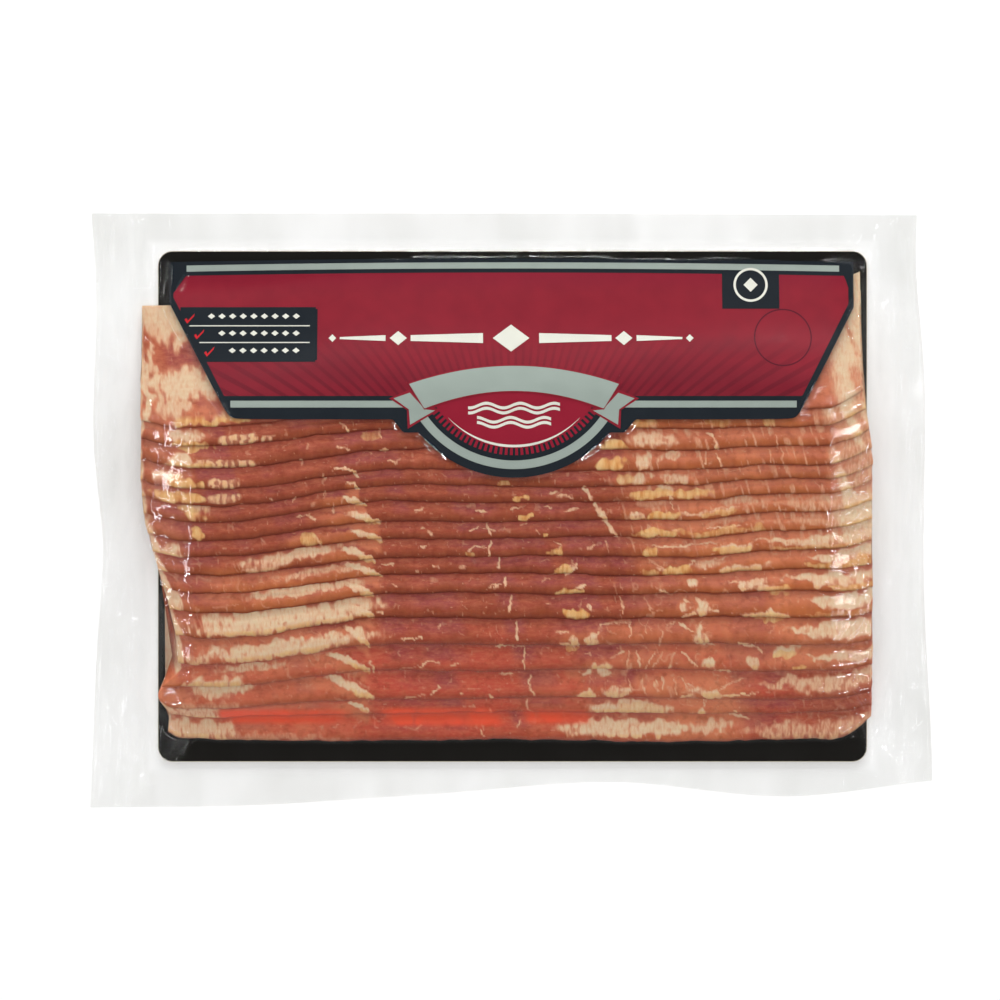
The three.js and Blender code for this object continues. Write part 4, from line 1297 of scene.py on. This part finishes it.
def draw_ornaments(white):
    """Plain motifs: a chain of lozenges and tapered bars, rows of small lozenges, a ring with a
    lozenge in it, and two pairs of wavy lines."""
    cx, cy = 0.0, 58.4
    lozenge(white, cx, cy, 6.2, 4.6)
    for side in (-1, 1):
        def at(x, y):
            """A place on this side of the middle lozenge."""
            return (cx + side * x, cy + y)
        white.quad(at(9.5, -1.7), at(34, -1.0), at(34, 1.0), at(9.5, 1.7), 10)
        white.quad(at(42.5, -1.0), at(58, -0.35), at(58, 0.35), at(42.5, 1.0), 10)
        lozenge(white, cx + side * 38.2, cy, 2.9, 2.4)
        lozenge(white, cx + side * 60.5, cy, 1.3, 1.3)
    for row_y, x0 in ((65.9, -101.6), (60.1, -98), (54.2, -94.4)):
        for x in np.arange(x0, -69.5, 3.6):
            lozenge(white, x, row_y, 1.25, 0.95)
    white.arc(81.3, 76.6, 5.0, 5.8, 0, 360, step=4)
    lozenge(white, 81.3, 76.6, 2.4, 2.4)
    for row_y, reach, phase in ((34.6, 15.5, 0.4), (29.8, 12.5, 2.2)):
        for low, high in ((-1.35, -0.35), (0.35, 1.35)):
            def wave(x, offset):
                """A level sine wave, moved up by the offset."""
                return row_y + 0.8 * np.sin(0.55 * (x - MEDALLION_X) + phase) + offset
            white.band(MEDALLION_X - reach, MEDALLION_X + reach, lambda x: wave(x, low),
                       lambda x: wave(x, high), step=0.5, rows=3)


# Film

def segment_ridges(x, y, rows):
    """The sum of ridges along straight lines: each is its height times a bell across the line,
    and fades at the line's ends."""
    total = np.zeros(np.shape(x))
    for x0, y0, x1, y1, height, width in rows:
        length = np.hypot(x1 - x0, y1 - y0)
        ux, uy = (x1 - x0) / length, (y1 - y0) / length
        along = ((x - x0) * ux + (y - y0) * uy) / length
        across = (x - x0) * uy - (y - y0) * ux
        bell = np.exp(-((across / width) ** 2))
        total = total + height * bell * ease(along / 0.3 + 0.1) * ease((1 - along) / 0.3 + 0.1)
    return total


# Creases of the film: x, y, x, y, height, half-width
CREASES = [
    (-109.6, 81.5, -113.8, 73.4, 1.0, 0.6), (119.7, 76.7, 113.4, 66.5, 1.0, 0.6),
    (115, 64, 115.8, 57.6, 0.8, 0.6), (92, 29, 112, 38.6, 0.8, 0.6),
    (109.5, 12, 113.6, 20.8, 0.7, 0.5), (111.9, 14.1, 110, 8.6, 0.5, 0.45),
    (117.8, 5, 116.1, -3.4, 0.55, 0.5), (119.5, -4.4, 115.7, -12, 0.6, 0.5),
    (119.8, -15.5, 117.3, -27, 0.6, 0.55), (119.4, -28, 115.5, -38, 0.6, 0.5),
    (118.2, -39, 112, -44.4, 0.6, 0.55),
    (109, -75.2, 114.2, -71.6, 0.8, 0.5), (-107.7, -73.8, -118, -85.5, 0.9, 0.6),
    (-105.6, -74.6, -115.4, -87, 0.7, 0.5), (114, -56, 122, -70, 0.9, 0.6),
    (116, -66, 121, -80, 0.8, 0.6), (-124, -35, -122, -70, 0.9, 0.7),
    (-131, -17, -130, -70, 0.8, 0.8), (131, 27, 132.5, -71, 0.9, 0.8),
    (94, 99, 110, 98, 0.7, 0.6), (48, -87, 50, -91, 0.5, 0.4), (18, -81, 20, -83, 0.6, 0.4),
]


def centred_line(x, y, length, angle):
    """Both ends of a line of this length about its middle, at an angle in radians."""
    dx, dy = 0.5 * length * np.cos(angle), 0.5 * length * np.sin(angle)
    return x - dx, y - dy, x + dx, y + dy


def small_wrinkles():
    """Seeded short wrinkles: across the flange all round, and over the ends of the slices."""
    draw = np.random.default_rng(7)
    rows = []
    for _ in range(150):
        side = draw.integers(0, 4)
        if side < 2:
            x = (-1 if side else 1) * draw.uniform(121, 136)
            y = draw.uniform(-92, 92)
            angle = draw.normal(0.5 * np.pi, 0.5)
        else:
            x = draw.uniform(-128, 128)
            y = draw.uniform(88, 97) if side == 2 else draw.uniform(-94, -86)
            angle = draw.normal(0.0 if draw.random() < 0.5 else 0.5 * np.pi, 0.45)
        length = draw.uniform(4, 20 if side < 2 else 12)
        height, width = draw.uniform(0.15, 0.5), draw.uniform(0.35, 0.9)
        rows.append((*centred_line(x, y, length, angle), height, width))
    for _ in range(70):
        right = draw.random() < 0.75
        x = draw.uniform(100, 121) if right else draw.uniform(-124, -108)
        y = draw.uniform(-78, 45)
        angle = draw.normal(1.2 if right else 1.9, 0.35)
        length = draw.uniform(3, 9)
        height, width = draw.uniform(0.15, 0.45), draw.uniform(0.3, 0.6)
        rows.append((*centred_line(x, y, length, angle), height, width))
    return rows


def film_relief(card):
    """What the front web lies at: the contents, draped no steeper than a limit, then eased."""
    relief = Relief(0.5)
    x, y = relief.grid_x, relief.grid_y
    contents = pile_top(x, y, True)
    on_card = (x > CARD_SIDES[0][0]) & (x < CARD_SIDES[1][0])
    on_card = on_card & (y > card_lower(x)) & (y < card_upper(x))
    contents = np.where(on_card, card.at(x, y) + CARD_SHEET + 0.2, contents)
    relief.z = contents
    relief.drape(1.05 + 0.4 * noise(x, y, 9, 74), 16)
    relief.soften(1.3)
    relief.z = np.maximum(relief.z, contents) + 0.3
    relief.soften(0.4)
    return relief


FINE_FROM = 100  # the film's columns are closer together past this distance from the middle
BACK_SHARES = (0.985, 0.96, 0.93, 0.9, 0.86)  # rings of the rear web, as shares of the rim


def build_film(look, card):
    """The pouch: a closed bag with the draped front web, a rim, and the flat rear web."""
    relief = film_relief(card)
    ends, middle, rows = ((95, 184, 240))
    half_x, half_y = POUCH_HALF_X, POUCH_HALF_Y
    across = np.concatenate([
        np.linspace(-half_x, -FINE_FROM, ends), np.linspace(-FINE_FROM, FINE_FROM, middle)[1:-1],
        np.linspace(FINE_FROM, half_x, ends),
    ])
    u = (across[:, None] + half_x) / (2 * half_x)
    columns = len(u)
    v = np.linspace(0, 1, rows)[None, :]
    base_x = -half_x + 2 * half_x * u + 0 * v
    base_y = -half_y + 2 * half_y * v + 0 * u
    left, right = curve_through(POUCH_LEFT, base_y), curve_through(POUCH_RIGHT, base_y)
    low, high = curve_through(POUCH_BOTTOM, base_x), curve_through(POUCH_TOP, base_x)
    x = left + (right - left) * u
    y = low + (high - low) * v
    beyond_x = np.maximum(BOARD_LOW.x - x, x - BOARD_HIGH.x)
    beyond_y = np.maximum(BOARD_LOW.y - y, y - BOARD_HIGH.y)
    beyond = np.maximum(beyond_x, beyond_y)
    flange = ease((beyond - 1.5) / 3.5)
    ripple = 0.5 + 0.5 * noise(x, y, 26, 71) + 0.3 * noise(x, y, 11, 72)
    ripple = np.maximum(0, ripple) * 1.5 * ease((beyond - 3) / 16)
    wrinkled = segment_ridges(x, y, CREASES + small_wrinkles())
    crumple = 0.1 * noise(x, y, 3.1, 73) * (0.4 + flange) * ease(beyond / 6 + 1)
    aside = ease((np.abs(x) - 121) / 5) * ease((half_x - np.abs(x)) / 4)
    folds = noise(x + 0.12 * y, 0.22 * y, 4.6, 75) + 0.5 * noise(x - 0.1 * y, 0.3 * y, 2.2, 76)
    crumple = crumple + 1.6 * aside * np.maximum(folds, -0.3)
    front = np.maximum(relief.at(x, y), 0.45) + wrinkled + ripple + crumple
    points = np.stack([x, y, front], -1)
    quads = grid_quads(columns, rows)
    ids = np.arange(columns * rows).reshape(columns, rows)
    loop = np.concatenate([ids[:-1, 0], ids[-1, :-1], ids[:0:-1, -1], ids[0, :0:-1]])
    flat = points.reshape(-1, 3)
    rim = flat[loop]
    back = np.maximum(ripple.ravel()[loop] - 0.05, 0.0)
    rings = [np.column_stack([rim[:, 0], rim[:, 1], back])]
    for share in BACK_SHARES:
        ring = rim * [share, share, 0]
        out = np.clip((share - 0.86) / 0.14, 0, 1)
        rings.append(np.column_stack([ring[:, 0], ring[:, 1], back * out**1.5]))
    count = len(loop)
    first = len(flat)
    new_ids = first + np.arange(len(rings) * count).reshape(-1, count)
    ring_ids = np.concatenate([loop[None, :], new_ids])
    a, b = ring_ids[:-1], ring_ids[1:]
    skirt = np.stack([a, b, np.roll(b, -1, 1), np.roll(a, -1, 1)], -1).reshape(-1, 4)
    pole = first + len(rings) * count
    last = ring_ids[-1]
    fan = np.stack([np.full(count, pole), np.roll(last, -1), last], -1)
    points = np.concatenate([flat, np.concatenate(rings), [[0.0, 0.0, 0.0]]])
    inside = ease((y - card_lower(x)) / 3) * ease((card_upper(x) - y) / 3)
    inside = inside * ease((113 - np.abs(x)) / 3)
    loose = 0.05 + 0.25 * (1 - inside) + 0.6 * flange
    behind = np.ones(len(rings) * count + 1)
    masks = {"flange": np.concatenate([flange.ravel(), behind]),
             "loose": np.concatenate([loose.ravel(), behind])}
    build_piece("pouch_film", points, np.concatenate([quads, skirt]), fan, film_material(look),
                ["film_pouch"], masks)


# Stage

def area_light(name, place, size, power, gloss=True, diffuse=True):
    """A rectangular light that faces the origin: size is its level side, then the other one.

    Without diffuse it only shows in reflections, and without gloss it never does.
    """
    light = bpy.data.lights.new(name, "AREA")
    light.shape = "RECTANGLE"
    light.size, light.size_y = size
    light.energy = power
    lamp = bpy.data.objects.new(name, light)
    lamp.location = place
    lamp.rotation_euler = (-lamp.location).to_track_quat("-Z", "Y").to_euler()
    lamp.visible_diffuse = diffuse
    lamp.visible_glossy = gloss
    bpy.context.scene.collection.objects.link(lamp)


# In metres: half the floor's side, its depth below the pack, and the camera's place
FLOOR_HALF = 3.0
FLOOR_DEPTH = 0.0004
CAMERA_PLACE = (-0.00374, 0.00357, 2.5)
# Lamps that only show in reflections: name, place, size, share of the side power
STRIPS = [
    ("left strip", (-0.98, 0.05, 1.0), (1.1, 0.03), 0.12),
    ("right strip", (0.98, 0.05, 1.0), (1.1, 0.03), 0.16),
    ("top strip", (0.0, 1.25, 0.9), (1.0, 0.03), 0.12),
    ("flange strip", (-1.0, 0.0, 1.7), (1.2, 0.09), 0.2),
    ("corner strip", (-0.6, -0.6, 1.0), (0.25, 0.05), 0.1),
    ("flange strip", (1.0, 0.0, 1.7), (1.2, 0.09), 0.2),
    ("corner strip", (0.6, -0.6, 1.0), (0.25, 0.05), 0.1),
]


def build_stage(look):
    """A pale floor that glows a little, and a camera straight above. The key and the wide fill
    cast light without highlights, the strips give highlights only, and the surroundings are
    bright near the horizon and dark overhead."""
    size = FLOOR_HALF
    corners = [(-size, -size), (size, -size), (size, size), (-size, size)]
    mesh = bpy.data.meshes.new("floor")
    mesh.from_pydata([(x, y, -FLOOR_DEPTH) for x, y in corners], [], [(0, 1, 2, 3)])
    material, s = new_material("pale floor")
    body = s.node("BsdfPrincipled", {
        "Base Color": look.floor, "Roughness": 0.9, "Specular IOR Level": 0.0,
        "Emission Color": (1.0, 1.0, 1.0), "Emission Strength": look.floor_light,
    })
    end_with(s, body.outputs[0])
    mesh.materials.append(material)
    floor = bpy.data.objects.new("floor", mesh)
    bpy.context.scene.collection.objects.link(floor)

    camera = bpy.data.cameras.new("camera")
    camera.lens = look.lens
    camera.sensor_width = 36.0
    eye = bpy.data.objects.new("camera", camera)
    eye.location = CAMERA_PLACE
    bpy.context.scene.collection.objects.link(eye)
    bpy.context.scene.camera = eye

    world = bpy.data.worlds.new("studio")
    world.use_nodes = True
    world.node_tree.nodes.clear()
    s = Shader(world.node_tree)
    up = s.node("SeparateXYZ", {0: s.node("TexCoord").outputs["Generated"]}).outputs[2]
    strength = s.spread(up, 0.3, 0.7, look.world_low, look.world_high)
    sky = s.node("Background", {"Color": (1.0, 1.0, 1.0), "Strength": strength})
    s.node("OutputWorld", {"Surface": sky.outputs[0]})
    bpy.context.scene.world = world

    area_light("key", (0.0, 1.35, 0.8), (2.4, 0.7), look.key_power, gloss=False)
    area_light("fill", (0.0, 0.0, 3.0), (3.0, 3.0), look.fill_power, gloss=False)
    for name, place, size, share in STRIPS:
        area_light(name, place, size, share * look.side_power, diffuse=False)
    bpy.context.scene.view_settings.view_transform = "Standard"


# Add-on

def colour(label, text, value):
    """A colour setting."""
    return FloatVectorProperty(name=label, description=text, subtype="COLOR", size=3, default=value)


def number(label, text, value, **rules):
    """A setting that is one number."""
    return FloatProperty(name=label, description=text, default=value, **rules)


class BaconPackLook(bpy.types.PropertyGroup):
    """Settings of the pack's colours, its film and the studio"""
    columns: IntProperty(name="Columns", description="Mesh columns along each slice",
                         default=640, min=60)
    lean: colour("Lean", "Lean meat", linear(162, 74, 57))
    rosy: colour("Rosy lean", "Redder lean at the foot of the pile", linear(202, 78, 62))
    cool: colour("Cool lean", "Lean with a purple cast", linear(150, 68, 74))
    salmon: colour("Pale lean", "Paler lean with fat in it", linear(214, 130, 94))
    smoke_light: colour("Smoked edge", "Smoked edge of pale lean", linear(180, 100, 50))
    smoke_dark: colour("Smoked edge, dark", "Smoked edge of lean", linear(128, 56, 32))
    crease: colour("Crease", "Deep shade between two slices", linear(112, 40, 30))
    fat: colour("Fat", "Cream fat", linear(226, 199, 164))
    fat_pink: colour("Pink fat", "Fat with a rosy cast", linear(218, 162, 128))
    gold: colour("Gilded fat", "Fat coloured by smoke", linear(222, 156, 84))
    gold_pale: colour("Gilded fat, pale", "Lighter stripes in gilded fat", linear(236, 200, 142))
    # Colour of the painted glow of light through the thin lean
    painted_glow: colour("Thin lean", "Thin bright lean at the foot of the pile", linear(240, 92, 62))
    board: colour("Board", "Black laminate", linear(20, 18, 15))
    board_cut: colour("Cut edge", "Pale cut edge of the board", linear(214, 204, 184))
    crimson: colour("Crimson", "Ground of the card", linear(144, 30, 46))
    navy: colour("Navy", "Border and panels of the card", linear(27, 34, 41))
    silver: colour("Silver", "Stripes, ring and ribbon", linear(160, 172, 164))
    white: colour("White", "Fine lines and ornaments", linear(232, 232, 220))
    flange_tint: colour("Flange tint", "Light that one web of the sealed flange lets through",
                        (0.888, 0.889, 0.878))
    floor: colour("Floor", "Pale floor", (0.93, 0.93, 0.93))
    floor_light: number("Floor light", "Light of the floor, as on a light table", 0.22)
    film_roughness: number("Film roughness", "Blur of its highlights", 0.06, min=0, max=1)
    film_crinkle: number("Film crinkle", "Strength of the finest crinkles", 0.35, min=0)
    film_mirror: number("Film mirror", "Share of the real mirror effect", 0.55, min=0)
    key_power: number("Key light", "Power of the light above", 17.5, unit="POWER")
    side_power: number("Side lights", "Power that the strips share", 34.0, unit="POWER")
    fill_power: number("Fill light", "Power of the wide light overhead", 50.5, unit="POWER")
    world_low: number("Surroundings", "Brightness near the horizon", 0.9)
    world_high: number("Zenith", "Brightness overhead", 0.02)
    lens: number("Lens", "Focal length", 264.7, unit="CAMERA")


class PACK_OT_slices(bpy.types.Operator):
    """Builds the seventeen shingled slices"""
    bl_idname = "bacon_pack.slices"
    bl_label = "Slices"

    def execute(self, context):
        look = context.scene.bacon_pack
        material = meat_material(look)
        columns = look.columns
        for i in range(SLICES):
            build_slice(i, material, columns)
        return {"FINISHED"}


class PACK_OT_board(bpy.types.Operator):
    """Builds the black backing board"""
    bl_idname = "bacon_pack.board"
    bl_label = "Board"

    def execute(self, context):
        build_board(context.scene.bacon_pack)
        return {"FINISHED"}


class PACK_OT_card(bpy.types.Operator):
    """Builds the card and its printed fields"""
    bl_idname = "bacon_pack.card"
    bl_label = "Printed card"

    def execute(self, context):
        look = context.scene.bacon_pack
        relief = card_relief()
        build_card(look, relief)
        build_print(look, relief)
        return {"FINISHED"}


class PACK_OT_film(bpy.types.Operator):
    """Builds the clear pouch"""
    bl_idname = "bacon_pack.film"
    bl_label = "Film pouch"

    def execute(self, context):
        build_film(context.scene.bacon_pack, card_relief())
        return {"FINISHED"}


class PACK_OT_stage(bpy.types.Operator):
    """Sets the floor, camera and lights"""
    bl_idname = "bacon_pack.stage"
    bl_label = "Stage"

    def execute(self, context):
        build_stage(context.scene.bacon_pack)
        return {"FINISHED"}


class PACK_PT_panel(bpy.types.Panel):
    bl_idname = "PACK_PT_panel"
    bl_label = "Bacon pack"
    bl_space_type = "VIEW_3D"
    bl_region_type = "UI"
    bl_category = "Bacon pack"

    def draw(self, context):
        for operator in OPERATORS:
            self.layout.operator(operator.bl_idname)
        for name in BaconPackLook.__annotations__:
            self.layout.prop(context.scene.bacon_pack, name)


OPERATORS = (PACK_OT_stage, PACK_OT_slices, PACK_OT_board, PACK_OT_card, PACK_OT_film)
CLASSES = (BaconPackLook, *OPERATORS, PACK_PT_panel)


def register():
    """Registers the classes and the scene's settings."""
    for item in CLASSES:
        bpy.utils.register_class(item)
    bpy.types.Scene.bacon_pack = PointerProperty(type=BaconPackLook)


def unregister():
    """Takes back what register did, last class first."""
    del bpy.types.Scene.bacon_pack
    for item in reversed(CLASSES):
        bpy.utils.unregister_class(item)


def main():
    """Builds the stage and every piece."""
    register()
    bpy.ops.bacon_pack.stage()
    bpy.ops.bacon_pack.slices()
    bpy.ops.bacon_pack.board()
    bpy.ops.bacon_pack.card()
    bpy.ops.bacon_pack.film()


if __name__ == "__main__":
    main()
